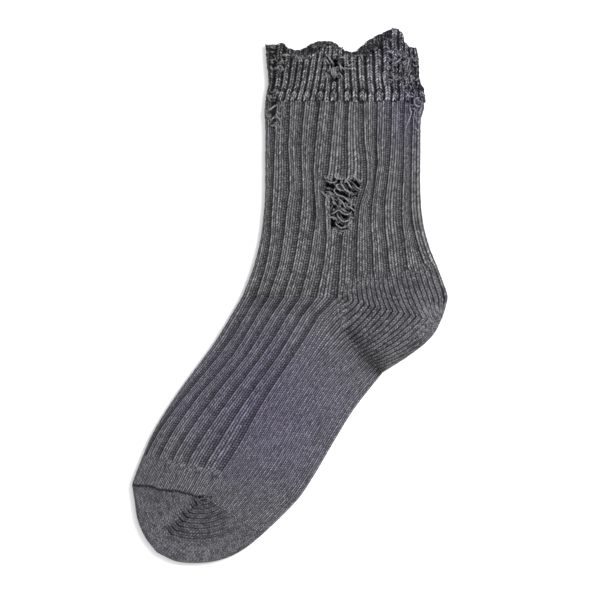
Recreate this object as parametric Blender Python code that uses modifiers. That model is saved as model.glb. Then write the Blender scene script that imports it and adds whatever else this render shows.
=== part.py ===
"""Holey crew sock, laid flat on its side: a knitted tube from cuff to toe, with its heel pocket.

The frame: +Y points up the leg to the cuff, +X points to the heel side, +Z points up from the
surface that the sock lies on. The origin is the centre of the footprint, on that surface.
The two layers of the tube lie on each other with a thin hollow between them, open at the cuff.
"""

import math
from collections import namedtuple

import bmesh
import bpy
from mathutils import Vector

MM = 0.001

# ---- Driving sizes of the cloth, in millimetres ----
WALL = 1.8  # thickness of one layer of the ribbed knit
HOLLOW = 1.0  # least space between the two layers
SEAM = 0.3  # space between two zones of the knit
HAIR = 0.5  # how far a cutter for a hole stands off the lower layer
FOLD = (WALL + HOLLOW) / 2.0  # radius of the cloth's mid-surface round a fold edge
CREASE_FLOOR = 0.1  # least height of the upper layer's crown under a crease

ACROSS = 16  # steps of the loft across one layer, between the two fold edges
FOLD_STEPS = 2  # steps of the loft in a quarter turn of a fold edge

# ---- The tube, from the rim down to the toe: one row for each ring ----
# front_x, front_y: where the ring meets the front fold, above the shin and the instep
# tilt: degrees that the ring is turned clockwise from level; width: from fold to fold
# crown: how far the upper layer rises in the middle, above its height at the folds
Ring = namedtuple("Ring", "place front_x front_y tilt width crown")
RINGS = (
    Ring("rim", -13.2, 134.6, 0.0, 82.4, 0.5),
    Ring("cuff upper third", -12.8, 124.0, 0.0, 82.8, 0.6),
    Ring("cuff lower third", -12.4, 113.0, 0.0, 84.8, 0.8),
    Ring("cuff end", -13.2, 104.5, 0.0, 86.6, 0.9),
    Ring("below the cuff", -13.0, 97.5, 0.0, 83.4, 0.9),
    Ring("upper leg", -12.5, 84.0, 0.0, 83.2, 0.9),
    Ring("mid leg", -12.9, 65.0, 0.0, 83.8, 1.0),
    Ring("lower leg", -13.8, 44.5, 0.0, 85.2, 1.1),
    Ring("above the ankle", -15.1, 31.6, 0.0, 88.6, 1.2),
    Ring("ankle", -17.3, 21.9, 0.0, 94.0, 1.4),
    Ring("heel top", -20.0, 13.8, 0.3, 100.5, 1.7),
    Ring("heel upper", -23.2, 6.2, 1.2, 107.5, 2.0),
    Ring("heel widest", -26.5, -0.8, 1.9, 111.9, 2.3),
    Ring("heel tip", -29.2, -6.2, 3.6, 112.0, 2.5),
    Ring("heel round", -31.9, -11.1, 5.7, 109.1, 2.5),
    Ring("heel lower", -34.6, -15.7, 7.6, 104.6, 2.3),
    Ring("heel end", -37.3, -20.2, 8.1, 99.3, 2.0),
    Ring("heel crease", -40.2, -24.8, 9.1, 94.6, 1.7),
    Ring("arch start", -42.7, -28.4, 11.4, 91.4, 1.6),
    Ring("arch upper", -44.3, -30.5, 15.8, 87.7, 1.5),
    Ring("arch", -46.2, -32.9, 22.6, 85.1, 1.4),
    Ring("arch lower", -48.6, -36.5, 29.3, 84.8, 1.4),
    Ring("mid foot", -53.5, -42.9, 33.4, 85.3, 1.3),
    Ring("foot", -61.6, -54.8, 33.9, 86.2, 1.3),
    Ring("ball", -69.7, -66.7, 31.0, 85.8, 1.3),
    Ring("toe root", -76.7, -79.1, 28.7, 83.2, 1.3),
    Ring("toe seam", -82.1, -93.7, 26.6, 77.3, 1.3),
    Ring("toe corner", -85.2, -104.4, 28.0, 68.9, 1.2),
    Ring("toe upper", -83.8, -112.4, 31.0, 57.2, 1.0),
    Ring("toe lower", -81.9, -120.8, 31.0, 44.4, 0.8),
    Ring("toe round", -79.0, -127.3, 31.6, 31.4, 0.5),
    Ring("toe tip", -75.6, -132.7, 32.0, 19.4, 0.3),
)
STRAIGHT = 8  # rows of RINGS, from the rim, that need no rings between them

# ---- The frilled rim: height of each layer above the cuff's lower edge ----
# share: place across the sock, from 0 at the front fold to 1 at the back fold
Frill = namedtuple("Frill", "share upper lower")
FRILL = (
    Frill(0.00, 30.8, 30.8),
    Frill(0.10, 31.2, 31.3),
    Frill(0.15, 27.6, 29.0),
    Frill(0.23, 24.2, 27.5),
    Frill(0.31, 25.2, 31.0),
    Frill(0.37, 29.2, 32.4),
    Frill(0.47, 29.6, 31.0),
    Frill(0.54, 25.6, 27.2),
    Frill(0.62, 25.4, 27.6),
    Frill(0.70, 26.0, 33.0),
    Frill(0.79, 32.8, 37.0),
    Frill(0.86, 39.9, 40.0),
    Frill(0.90, 36.4, 35.6),
    Frill(0.94, 31.4, 31.4),
    Frill(1.00, 28.2, 28.2),
)
CUFF_LOW = 104.5  # the cuff's lower edge, along Y
CUFF_RINGS = 4  # rows of RINGS that the frill stretches, from the rim to the cuff end

# ---- Soft creases pressed into the upper layer ----
Crease = namedtuple("Crease", "name start end width depth")
CREASES = (
    Crease("under the heel pocket", (28.0, -17.0), (49.0, -42.0), 5.0, 1.1),
    Crease("across the front of the ankle", (-18.0, -2.0), (14.0, -8.0), 7.0, 0.5),
    Crease("beside the toe pocket", (-44.0, -112.0), (-58.0, -128.0), 5.0, 0.5),
)

# ---- Lines in plan where one zone of the knit meets the next; their ends lie off the sock ----
GORE = (25.9, -1.4)  # where leg, heel and foot meet, on each layer
ANKLE_LINE = ((-125.0, 13.0), (-23.2, 4.6))
RIB_END = ((34.0, 5.7), (54.0, 8.9), (74.0, 13.2), (120.0, 22.0))
HEEL_END = ((27.0, -17.6), (37.3, -27.8), (48.6, -41.9), (63.0, -60.0))
TOE_LINE = (
    (-125.0, -96.0),
    (-84.2, -102.3),
    (-65.1, -106.1),
    (-45.9, -109.4),
    (-14.6, -128.8),
    (6.0, -141.7),
)
OFF_LEFT, OFF_RIGHT, OFF_TOP, OFF_BOTTOM = -125.0, 120.0, 185.0, -185.0
OFF_SOLE = (60.0, -140.0)

# ---- Holes worn through the upper layer ----
ANKLE_HOLE = (
    (18.4, 64.6),
    (39.6, 65.2),
    (39.0, 55.6),
    (34.6, 52.6),
    (33.6, 42.4),
    (31.4, 34.0),
    (22.0, 34.2),
    (22.6, 52.6),
    (18.6, 56.0),
)
CUFF_HOLE = ((21.4, 117.0), (26.6, 116.4), (25.2, 121.6), (22.4, 122.4))

CUTTER_LOW, CUTTER_HIGH = -10.0, 30.0  # heights of the cutters that part the zones
KNIT_ROUGHNESS = 0.95
ZONE_COLOURS = {
    "cuff": (0.092, 0.091, 0.098),
    "leg": (0.112, 0.110, 0.120),
    "heel": (0.109, 0.107, 0.118),
    "foot": (0.122, 0.118, 0.146),
    "toe": (0.108, 0.106, 0.118),
}


def all_rings():
    """The rows of RINGS, with one more on a smooth curve between each pair below the leg."""
    rings = list(RINGS[:STRAIGHT])
    for i in range(STRAIGHT, len(RINGS)):
        near = RINGS[i - 2], RINGS[i - 1], RINGS[i], RINGS[min(i + 1, len(RINGS) - 1)]
        sizes = zip(*(ring[1:] for ring in near))
        middle = [(9.0 * (b + c) - a - d) / 16.0 for a, b, c, d in sizes]
        rings += [Ring("above the " + RINGS[i].place, *middle), RINGS[i]]
    return rings


def frill_height(share, layer):
    """Height of the rim above the cuff's lower edge, on the upper or the lower layer."""
    for low, high in zip(FRILL, FRILL[1:]):
        if share <= high.share:
            break
    t = (share - low.share) / (high.share - low.share)
    ease = 0.5 - 0.5 * math.cos(math.pi * t)
    return getattr(low, layer) * (1.0 - ease) + getattr(high, layer) * ease


def crease_depth(place):
    """How far the creases lower the upper layer at one place in plan."""
    depth = 0.0
    for crease in CREASES:
        start, end = Vector(crease.start), Vector(crease.end)
        along = end - start
        t = min(1.0, max(0.0, (place - start).dot(along) / along.length_squared))
        gap = (place - start - along * t).length
        depth += crease.depth * math.exp(-((gap / crease.width) ** 2))
    return depth


def ring_profile():
    """Steps round one ring: (what the amount measures, amount, height from -1 to 1, layer)."""
    quarter = [i / FOLD_STEPS * math.pi / 2.0 for i in range(FOLD_STEPS)]
    flat = [i / ACROSS for i in range(ACROSS + 1)]
    over = [("front", a, math.sin(a), "upper") for a in quarter]
    over += [("across", share, 1.0, "upper") for share in flat]
    over += [("back", a, math.sin(a), "upper") for a in reversed(quarter[1:])]
    under = [("back", a, -math.sin(a), "lower") for a in quarter]
    under += [("across", share, -1.0, "lower") for share in reversed(flat)]
    under += [("front", a, -math.sin(a), "lower") for a in reversed(quarter[1:])]
    return over + under


def ring_points(ring, frilled):
    """Points of the cloth's mid-surface round one ring, in mm."""
    turn = math.radians(ring.tilt)
    along = Vector((math.cos(turn), -math.sin(turn)))
    start = Vector((ring.front_x, ring.front_y)) + along * (WALL / 2.0)
    width = ring.width - WALL
    rise = (ring.front_y - CUFF_LOW) / (RINGS[0].front_y - CUFF_LOW)
    points = []
    for side, amount, height, layer in ring_profile():
        if side == "across":
            s = FOLD + amount * (width - 2.0 * FOLD)
        else:
            s = FOLD * (1.0 - math.cos(amount))
        if side == "back":
            s = width - s
        share = s / width
        place = start + along * s
        z = WALL / 2.0 + FOLD * (1.0 + height)
        if side == "across" and layer == "upper":
            crown = ring.crown * math.sin(math.pi * share) ** 0.6
            z += max(min(crown, CREASE_FLOOR), crown - crease_depth(place))
        if frilled:
            place.y = CUFF_LOW + rise * frill_height(share, layer)
        points.append(Vector((place.x, place.y, z)))
    return points


def toe_cap(last, angle):
    """The last ring carried round the tip: shut to a line when angle is a quarter turn."""
    turn = math.radians(RINGS[-1].tilt)
    ahead = Vector((-math.sin(turn), -math.cos(turn), 0.0))
    middle = WALL / 2.0 + FOLD
    first = last[0]
    span = max((point - first).length for point in last)
    capped = []
    for point in last:
        bulge = math.sin(math.pi * min(1.0, (point - first).length / span)) ** 0.5
        moved = point + ahead * (FOLD * math.sin(angle) * bulge)
        moved.z = middle + (point.z - middle) * math.cos(angle)
        capped.append(moved)
    return capped


def tube_mesh():
    """The mid-surface of the whole sock, open at the mouth and closed round the toe."""
    rows = [ring_points(ring, i < CUFF_RINGS) for i, ring in enumerate(all_rings())]
    last = rows[-1]
    rows += [toe_cap(last, math.pi / 4.0), toe_cap(last, math.pi / 2.0)]
    bm = bmesh.new()
    grid = [[bm.verts.new(point * MM) for point in row] for row in rows]
    count = len(last)
    for upper, lower in zip(grid, grid[1:]):
        for i in range(count):
            j = (i + 1) % count
            bm.faces.new((upper[i], lower[i], lower[j], upper[j]))
    bmesh.ops.remove_doubles(bm, verts=grid[-1], dist=0.01 * MM)
    bmesh.ops.recalc_face_normals(bm, faces=bm.faces)
    mesh = bpy.data.meshes.new("sock_tube")
    bm.to_mesh(mesh)
    bm.free()
    mesh.shade_smooth()
    return mesh


def zone_outlines():
    """Plan outline of each zone, anticlockwise, on the lines that the zones share."""
    left_gap, right_gap = (OFF_LEFT, CUFF_LOW), (OFF_RIGHT, CUFF_LOW)
    return {
        "cuff": [left_gap, right_gap, (OFF_RIGHT, OFF_TOP), (OFF_LEFT, OFF_TOP)],
        "leg": [*ANKLE_LINE, GORE, *RIB_END, right_gap, left_gap],
        "heel": [GORE, *HEEL_END, (OFF_RIGHT, HEEL_END[-1][1]), *reversed(RIB_END)],
        "foot": [*TOE_LINE, OFF_SOLE, *reversed(HEEL_END), GORE, *reversed(ANKLE_LINE)],
        "toe": [(OFF_LEFT, OFF_BOTTOM), (OFF_SOLE[0], OFF_BOTTOM), *reversed(TOE_LINE)],
    }


def inset_outline(outline, gap):
    """A closed anticlockwise outline, moved inwards by gap along every side."""
    moved = []
    for i, corner in enumerate(outline):
        before = Vector(outline[i - 1])
        here = Vector(corner)
        after = Vector(outline[(i + 1) % len(outline)])
        normals = [Vector((-d.y, d.x)).normalized() for d in (here - before, after - here)]
        mitre = (normals[0] + normals[1]) / (1.0 + normals[0].dot(normals[1]))
        moved.append(here + mitre * gap)
    return moved


def in_collection(obj, name):
    """Puts an object in the named collection, made when it is first asked for."""
    collection = bpy.data.collections.get(name)
    if collection is None:
        collection = bpy.data.collections.new(name)
        bpy.context.scene.collection.children.link(collection)
    collection.objects.link(obj)


def prism(name, outline, low, high):
    """A cutter: a plan outline filled and extruded between two heights, in mm."""
    curve = bpy.data.curves.new(name, "CURVE")
    curve.dimensions = "2D"
    curve.fill_mode = "BOTH"
    curve.extrude = (high - low) / 2.0 * MM
    spline = curve.splines.new("POLY")
    spline.points.add(len(outline) - 1)
    for point, (x, y) in zip(spline.points, outline):
        point.co = (x * MM, y * MM, 0.0, 1.0)
    spline.use_cyclic_u = True
    guide = bpy.data.objects.new(name + "_outline", curve)
    bpy.context.scene.collection.objects.link(guide)
    guide.location.z = (low + high) / 2.0 * MM
    bpy.context.view_layer.update()
    graph = bpy.context.evaluated_depsgraph_get()
    mesh = bpy.data.meshes.new_from_object(guide.evaluated_get(graph))
    bm = bmesh.new()
    bm.from_mesh(mesh)
    bmesh.ops.remove_doubles(bm, verts=bm.verts, dist=0.001 * MM)
    bmesh.ops.recalc_face_normals(bm, faces=bm.faces)
    bm.to_mesh(mesh)
    bm.free()
    cutter = bpy.data.objects.new(name, mesh)
    cutter.matrix_world = guide.matrix_world
    bpy.data.objects.remove(guide)
    cutter.hide_render = True
    cutter.display_type = "WIRE"
    in_collection(cutter, "cutters")
    return cutter


def knit_material(zone):
    """Matt charcoal cotton knit."""
    material = bpy.data.materials.new("knit_" + zone)
    material.use_nodes = True
    shader = material.node_tree.nodes["Principled BSDF"]
    shader.inputs["Base Color"].default_value = (*ZONE_COLOURS[zone], 1.0)
    shader.inputs["Roughness"].default_value = KNIT_ROUGHNESS
    shader.inputs["Metallic"].default_value = 0.0
    return material


def add_boolean(obj, cutter, operation):
    """Keeps or cuts away what lies inside the cutter."""
    modifier = obj.modifiers.new(cutter.name, "BOOLEAN")
    modifier.operation = operation
    modifier.solver = "EXACT"
    modifier.object = cutter


def make_zone(zone, tube, outline, holes, parent):
    """One zone of the knit: the walled tube inside its outline, less the worn holes."""
    obj = bpy.data.objects.new(zone, tube.copy())
    in_collection(obj, "holey_sock")
    obj.parent = parent
    obj.data.materials.append(knit_material(zone))
    wall = obj.modifiers.new("cloth_wall", "SOLIDIFY")
    wall.thickness = WALL * MM
    wall.offset = 0.0
    wall.use_even_offset = True
    wall.use_quality_normals = True
    inside = inset_outline(outline, SEAM / 2.0)
    add_boolean(obj, prism(zone + "_zone", inside, CUTTER_LOW, CUTTER_HIGH), "INTERSECT")
    for hole in holes:
        add_boolean(obj, hole, "DIFFERENCE")


def main():
    for obj in list(bpy.data.objects):
        bpy.data.objects.remove(obj, do_unlink=True)
    frame = bpy.data.objects.new("sock_frame", None)
    in_collection(frame, "holey_sock")
    hole_low = WALL + HAIR
    holes = {
        "leg": [prism("ankle_hole", ANKLE_HOLE, hole_low, CUTTER_HIGH)],
        "cuff": [prism("cuff_hole", CUFF_HOLE, hole_low, CUTTER_HIGH)],
    }
    tube = tube_mesh()
    for zone, outline in zone_outlines().items():
        make_zone(zone, tube, outline, holes.get(zone, []), frame)


main()
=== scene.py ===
"""Holey crew sock, laid flat on its side: its knit, its holes and its loose yarn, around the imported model.

The frame is the model's own, in metres: +Y points up the leg to the cuff, +X to the heel side
and +Z up from the surface that the sock lies on. The tables below are in millimetres, unless they
say otherwise.

A place on the knit has two numbers. The wale is the count of stitch columns round the tube: 0 at
the front fold, 24 at the middle line of the upper layer, 46 at the back fold, 68 at the middle
line of the under layer, and 92 at the front fold again. The course is the count of stitch rows.
"""

import math

import bpy
import numpy as np
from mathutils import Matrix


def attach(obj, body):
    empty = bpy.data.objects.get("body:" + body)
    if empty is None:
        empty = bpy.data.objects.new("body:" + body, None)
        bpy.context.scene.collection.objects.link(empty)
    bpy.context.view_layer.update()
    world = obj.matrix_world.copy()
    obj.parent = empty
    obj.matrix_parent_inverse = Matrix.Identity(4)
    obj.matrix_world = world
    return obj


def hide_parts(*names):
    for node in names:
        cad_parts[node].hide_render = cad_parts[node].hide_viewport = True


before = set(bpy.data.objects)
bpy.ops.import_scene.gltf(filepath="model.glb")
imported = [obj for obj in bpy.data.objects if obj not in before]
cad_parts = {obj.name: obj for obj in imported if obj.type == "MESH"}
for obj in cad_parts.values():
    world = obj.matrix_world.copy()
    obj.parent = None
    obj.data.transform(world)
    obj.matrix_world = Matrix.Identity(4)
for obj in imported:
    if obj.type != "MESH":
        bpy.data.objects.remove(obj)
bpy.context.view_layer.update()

bl_info = {
    "name": "Holey Crew Sock",
    "version": (1, 0, 0),
    "blender": (4, 5, 0),
    "location": "View3D > Sidebar > Sock",
    "description": "Knits a worn crew sock that lies flat, with its holes, loose yarn and seams",
    "category": "Add Mesh",
}

MM = 0.001

# ---- How the tube is divided ----
FRONT = 24  # wales from the front fold to the middle line
FACE = 46  # wales across one layer
TUBE = 2 * FACE  # wales round the tube
POCKET_WALES = (FRONT, TUBE - FRONT)  # the wales of the heel and of the toe
PER_WALE = 4  # mesh columns in a wale
PER_COURSE = 3  # mesh rows in a course
LEG_COURSES = 72
FOOT_COURSES = 82
RIB = 4  # wales in a rib of the leg: two knit, two purl
CUFF_RIB = 2  # wales in a rib of the cuff: one knit, one purl
RIB_PLACES = (0.0, 0.335, 0.67, 0.83, 1.0)  # where the wales of a leg rib begin
CUFF_RIB_PLACES = (0.0, 0.40, 0.77, 0.89, 1.0)
# the section of a rib: place along it, and depth as a share of the rib's depth
RIB_PROFILE = (
    (0.0, 0.20), (0.025, 0.03), (0.07, 0.0), (0.22, 0.09), (0.30, 0.0),
    (0.42, 0.06), (0.475, 0.13), (0.515, 0.42), (0.56, 0.74), (0.63, 0.85),
    (0.82, 0.88), (0.90, 1.0), (0.95, 1.08), (0.98, 0.62), (1.0, 0.20),
)
RIB_DEEPEST = 1.4  # the share that the curve node's 1 stands for
SLANT = 1.1  # courses that a stitch's legs rise over half a wale
UNDER_WANDER = 0.35  # how much of the ribs' wander the under layer takes up
TOE_LOWER_COURSES = 42.0  # of the toe's longest wale, below the gore
TOE_UPPER_COURSES = 26.0  # of the same, above the gore

# ---- Where the zones of the knit meet, in plan ----
CUFF_LOW = 104.5  # height of the cuff's low edge
ANKLE_FRONT = (-25.5, -1.0)
GORE = (26.0, -1.5)
HEEL_TOP = (80.5, 15.0)
HEEL_TIP = (83.0, -12.5)
SOLE_START = (51.0, -42.0)
TOE_FRONT = (-85.0, -102.5)
TOE_CORNER = (-46.0, -109.0)
TOE_SOLE = (-14.0, -129.5)
TOE_TIP = (-71.5, -139.5)

# ---- Lines along some wales of the leg ----
# how far each runs down from the cuff, and its x at these shares of that
LEG_AT = (0.0, 0.3, 0.55, 0.7, 0.85, 1.0)
LEG_LINES = {
    0: (105.5, (-13.0, -13.0, -13.5, -15.5, -19.5, -25.5)),
    12: (105.5, (7.5, 6.5, 5.5, 5.0, 3.5, 0.0)),
    24: (106.0, (30.0, 30.0, 28.5, 28.0, 27.0, 26.0)),
    27: (99.0, (36.0, 36.0, 34.5, 34.0, 34.0, 34.0)),
    36: (95.5, (55.0, 54.5, 53.0, 52.5, 53.5, 55.5)),
    46: (89.5, (71.5, 71.5, 71.5, 72.5, 75.5, 80.5)),
}

# ---- Lines along three wales of the foot, and where the sole's wales leave the crease under the heel ----
FOOT_LINES = {
    0: [ANKLE_FRONT, (-40.5, -26.0), (-58.0, -50.0), (-74.0, -75.5), TOE_FRONT],
    24: [GORE, (6.5, -27.0), (-12.0, -54.0), (-28.5, -82.0), TOE_CORNER],
    46: [SOLE_START, (34.5, -63.0), (20.0, -87.0), (5.5, -110.0), TOE_SOLE],
}
HEEL_CREASE = {
    24: GORE,
    27: (26.5, -9.5),
    30.5: (29.0, -22.0),
    36.5: (38.0, -31.0),
    46: SOLE_START,
}
CREASE_FADE = 2.5  # how soon the sole's wales lie evenly again below the crease
FOOT_AT = np.linspace(0, 1, 9)

# ---- How far the ribs wander from even places, in wales, by wale and at these courses ----
LEG_DRIFT_AT = (0, 8, 17, 25, 33, 38, 42, 50, 58, 72)
LEG_DRIFT = {
    0: (0.0,) * 10,
    4: (-0.3, -0.5, -0.75, -0.85, -1.1, -1.1, -1.1, -0.7, -0.5, -0.3),
    8: (0.0, -0.05, -0.3, 0.3, 0.6, 0.0, -0.3, -0.6, -0.8, -1.2),
    12: (0.6, 0.1, -0.15, 0.3, 0.8, 0.65, 0.45, -0.15, -0.7, -1.4),
    16: (0.95, 0.35, -0.2, -0.4, 0.2, 0.7, 0.95, 0.2, -0.4, -1.35),
    20: (1.2, 0.7, 0.1, -0.3, -0.8, -0.8, -0.5, -0.05, -0.3, -1.2),
    24: (1.15, 0.75, 0.65, 0.9, 0.7, 0.6, 0.5, 0.4, 0.15, 0.0),
    28: (1.1, 1.1, 1.3, 2.1, 2.45, 1.7, 0.95, 0.6, 0.3, 0.0),
    32: (0.7, 0.6, 0.45, 0.95, 0.6, 0.4, 0.2, 0.2, 0.4, 0.0),
    36: (0.6, 0.55, 0.45, 0.3, 0.1, -0.1, -0.2, 0.0, 0.3, 0.0),
    40: (0.7, 0.6, 0.6, 0.7, 0.8, 0.75, 0.7, 0.7, 0.8, 0.0),
    44: (-0.3, -0.5, -0.7, -0.7, -0.6, -0.6, -0.6, -0.5, -0.3, 0.0),
    46: (0.0,) * 10,
}
FOOT_DRIFT_AT = (0, 8, 17, 25, 33, 42, 50, 58, 67, 82)
FOOT_DRIFT = {
    0: (0.0,) * 10,
    4: (-0.3, -0.1, 0.05, -0.1, -0.5, -1.1, -1.7, -2.2, -2.6, -2.6),
    8: (-1.2, -1.2, -0.8, -0.55, -0.8, -1.8, -2.3, -2.8, -3.05, -3.0),
    12: (-1.4, -1.45, -1.05, -0.7, -1.05, -1.65, -2.15, -2.65, -3.05, -2.9),
    16: (-1.35, -1.3, -0.7, -0.55, -0.8, -1.15, -1.65, -2.15, -2.55, -2.2),
    20: (-1.2, -1.4, -0.7, -0.05, -0.2, -0.55, -0.95, -1.15, -1.3, -1.0),
    24: (0.0, -1.0, -0.2, 0.2, 0.2, 0.2, 0.2, 0.4, 0.45, 0.0),
    28: (0.0, -0.2, 0.0, 0.2, 0.2, 0.2, 0.2, 0.2, 0.2, 0.0),
    46: (0.0,) * 10,
}

# ---- The heel pocket: its gore by wale, and its outline above and below the gore's end ----
HEEL_GORE = {
    24: GORE,
    31: (46.5, -6.5),
    37.5: (67.0, -11.5),
    40.5: (76.0, -13.5),
    46: HEEL_TIP,
}
HEEL_OUT_UPPER = [HEEL_TOP, (84.0, 6.0), (86.0, -0.5), (85.0, -6.5), HEEL_TIP]
HEEL_OUT_LOWER = [HEEL_TIP, (79.0, -20.5), (73.0, -27.0), (65.0, -33.0), (57.5, -38.0), SOLE_START]
# courses in each wale, above and below the gore
HEEL_UPPER_COURSES = {24: 0.0, 25: 3.0, 27: 6.8, 31: 10.3, 36: 15.0, 40: 18.0, 46: 19.5}
HEEL_LOWER_COURSES = {24: 0.0, 25: 2.5, 27: 7.0, 30.5: 15.5, 36.5: 23.0, 46: 31.5}
# how far the wales bow out of the straight line, by wale
HEEL_BOW_UPPER = {24: 0.0, 31: -0.7, 36: -1.1, 40: -0.8, 43: 0.8, 46: 3.8}
HEEL_BOW_LOWER = {24: 0.0, 31: -1.1, 36.5: -1.9, 41: -1.2, 44: 0.6, 46: 2.5}
HEEL_OUTER = 38  # the wale from which the heel's wales turn to its outline

# ---- The toe pocket: the outlines that its wales are nested in ----
TOE_OUT_LOWER = [TOE_SOLE, (-24.0, -137.5), (-34.0, -142.5), (-45.5, -145.0), (-60.0, -144.5), TOE_TIP]
TOE_IN_LOWER = [TOE_SOLE, (-24.0, -134.5), (-34.0, -138.5), (-45.5, -140.5), (-59.0, -140.5), TOE_TIP]
TOE_OUT_UPPER = [TOE_TIP, (-78.0, -131.0), (-82.0, -121.5), (-83.5, -112.0), TOE_FRONT]
SEAM_WANDER = 0.42  # how far the linking seam leaves its line
TOE_WALES = 13  # bold wales of the toe, over the mesh's 22

# ---- The cuff: its fold edges above its low edge, and the height of its frilled rim ----
CUFF_COURSE = 1.45  # height of a course in the cuff
CUFF_OVERLAP = 0.6  # how far its first course reaches down among the leg's stitches
CUFF_TALL = 27.0  # a height near the rim, where the lean is taken for it
EDGE_TALL = 60.0  # how far the outline is carried up past the rim
BUMP_AT, BUMP_REACH = 0.13, 0.25  # where its bumps stand along a rib of the leg, and their reach
CUFF_FRONT_EDGE = {
    0: -13.0, 3.5: -12.5, 6: -12.0, 10.5: -11.5, 15.5: -12.0, 21: -12.5, 26: -13.0, 45: -13.5,
}
CUFF_BACK_EDGE = {0: 73.0, 3: 73.5, 7: 73.0, 10: 71.5, 16: 70.5, 22: 70.5, 28: 69.5, 45: 69.0}
CUFF_LEAN = {
    -14: 0.0, -8: 0.14, -2: 0.2, 4: 0.19, 15: 0.17, 21: 0.06, 27: 0.0, 50: 0.0, 60: 0.06, 70: 0.0,
}
RIM_UPPER = {
    -13: 31.0, -9: 30.0, -4.5: 31.0, -0.5: 27.5, 6: 23.5, 12: 24.5, 18: 28.5, 24: 29.0,
    30: 25.0, 38: 25.5, 47: 26.5, 52: 32.0, 57: 38.5, 61: 36.5, 63.5: 31.5, 69: 28.5,
}
RIM_UNDER = {
    -13: 31.0, -9: 30.5, -4.5: 31.0, -0.5: 29.0, 3.5: 27.5, 8: 28.5, 12.5: 31.0, 17.5: 32.5, 26: 31.0,
    30.5: 27.5, 35.5: 26.5, 43: 32.0, 49: 35.5, 54.5: 38.0, 58: 39.5, 63.5: 31.5, 69: 28.5,
}
RIM_CURL = {-13: 0.2, -4: 0.9, 3: 0.2, 12: 0.4, 21: 1.5, 31: 0.3, 44: 0.4, 56: 2.2, 63: 0.9, 69: 0.2}

# ---- Soft shapes of the laid cloth: x, y, reach, height ----
PUFFS = (
    (60.0, -4.0, 27.0, 1.5),
    (30.0, 4.0, 22.0, 0.5),
    (-64.0, -118.0, 22.0, 0.3),
    (0.0, 20.0, 18.0, -0.25),
    (8.0, 88.0, 16.0, 0.3),
    (52.0, 74.0, 18.0, 0.25),
    (-30.0, -50.0, 22.0, -0.3),
    (20.0, -75.0, 20.0, 0.3),
)
# creases: the two ends, the width and the depth; the depth also sets the painted shade along each crease
CREASES = (
    ((32.0, -20.5), (49.0, -40.5), 4.6, 0.95),
    ((-18.0, -2.0), (12.0, -9.0), 5.0, 0.35),
    ((-49.0, -113.0), (-62.0, -128.0), 2.6, 0.3),
    ((16.0, 104.0), (13.0, 40.0), 1.4, 0.35),
    ((47.8, 92.0), (45.2, 40.0), 1.4, 0.35),
    ((-12.0, 133.0), (-11.0, 106.0), 4.8, 0.85),
    ((40.0, 130.0), (50.0, 134.0), 5.0, 0.6),
    ((25.5, -1.0), (30.5, -12.0), 1.6, 0.3),
)
# creases of the under layer, which lift it a little from the surface and take painted shade
UNDER_CREASES = (
    ((29.0, -17.0), (44.0, -33.0), 4.2, 0.38),
    ((-22.0, -10.0), (9.0, -19.0), 4.6, 0.32),
    ((19.0, 97.0), (14.0, 51.0), 1.8, 0.3),
    ((51.0, 84.0), (49.0, 47.0), 1.6, 0.22),
    ((-39.0, -57.0), (-53.0, -86.0), 3.0, 0.34),
    ((12.0, -68.0), (-4.0, -92.0), 2.6, 0.24),
    ((-57.0, -112.0), (-47.0, -131.0), 2.8, 0.28),
)
# places where the knit is pushed sideways: x, y, reach, push in x, push in y
PUSHES = (
    (72.0, 101.5, 4.6, 2.0, 0.0),
    (-11.0, 98.0, 4.0, -0.5, 0.0),
)
# worn, tangled places, whose knit also takes painted shade under its loose yarn: x, y, reach along x, reach
# along y, strength
TANGLES = (
    (69.0, 112.0, 6.0, 19.0, 1.0),
    (59.0, 121.0, 6.0, 12.0, 0.8),
    (57.0, 134.0, 9.0, 7.0, 0.5),
    (25.0, 125.0, 7.0, 9.0, 0.5),
    (-8.0, 98.0, 6.0, 12.0, 0.8),
    (-8.0, 128.0, 8.0, 8.0, 0.6),
    (28.5, 49.0, 9.0, 17.0, 0.35),
)

# ---- Holes, as outlines in plan ----
ANKLE_HOLE = [
    (19.8, 62.8), (26.0, 63.6), (32.5, 63.0), (38.4, 63.4), (38.0, 57.4), (34.6, 53.0), (33.6, 43.2),
    (31.8, 35.2), (24.6, 34.8), (23.4, 43.2), (23.4, 52.4), (19.2, 57.0),
]
CUFF_HOLE = [(20.8, 129.0), (23.6, 128.6), (32.0, 123.5), (30.0, 120.5), (24.8, 115.6), (21.8, 119.0)]

TUCK = -1.3  # height of a strand's tucked ends over the cloth
CURLS_PER_AREA = 0.8  # pulled loops in a square millimetre of reach
FALLEN = 46  # short strands that have sunk into the ankle hole
RIM_LOOP_AT = (-10.0, 48.0, 1.75)  # where the rim's open stitches start, where they end and their pitch
FRAY_AT = (-6.0, 66.0, 0.42)  # the same for the yarn that has come loose between the two rims

# ---- Each part's flat cut all round the tube, in metres, and how much of a pocket's cut is cloth ----
CUFF_FLAT = (0.180, 0.034)
LEG_FLAT = (0.180, 0.105)
HEEL_FLAT, HEEL_CLOTH = (0.125, 0.072), 0.55
FOOT_FLAT = (0.176, 0.118)
TOE_FLAT, TOE_CLOTH = (0.090, 0.098), 0.6

# ---- The stage, in metres ----
FLOOR_HALF = 1.6
LENS, SENSOR = 200.0, 36.0  # in millimetres
VIEW_WIDE = 0.324  # what the camera takes in across the sock
VIEW_MIDDLE = (0.00594, -0.00297)
VIEW_LEVEL = 0.005  # the height at which that width is taken
KEY_PLACE, KEY_SIZE, KEY_POWER = (0.85, 0.55, 1.0), 0.7, 21.0

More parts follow.
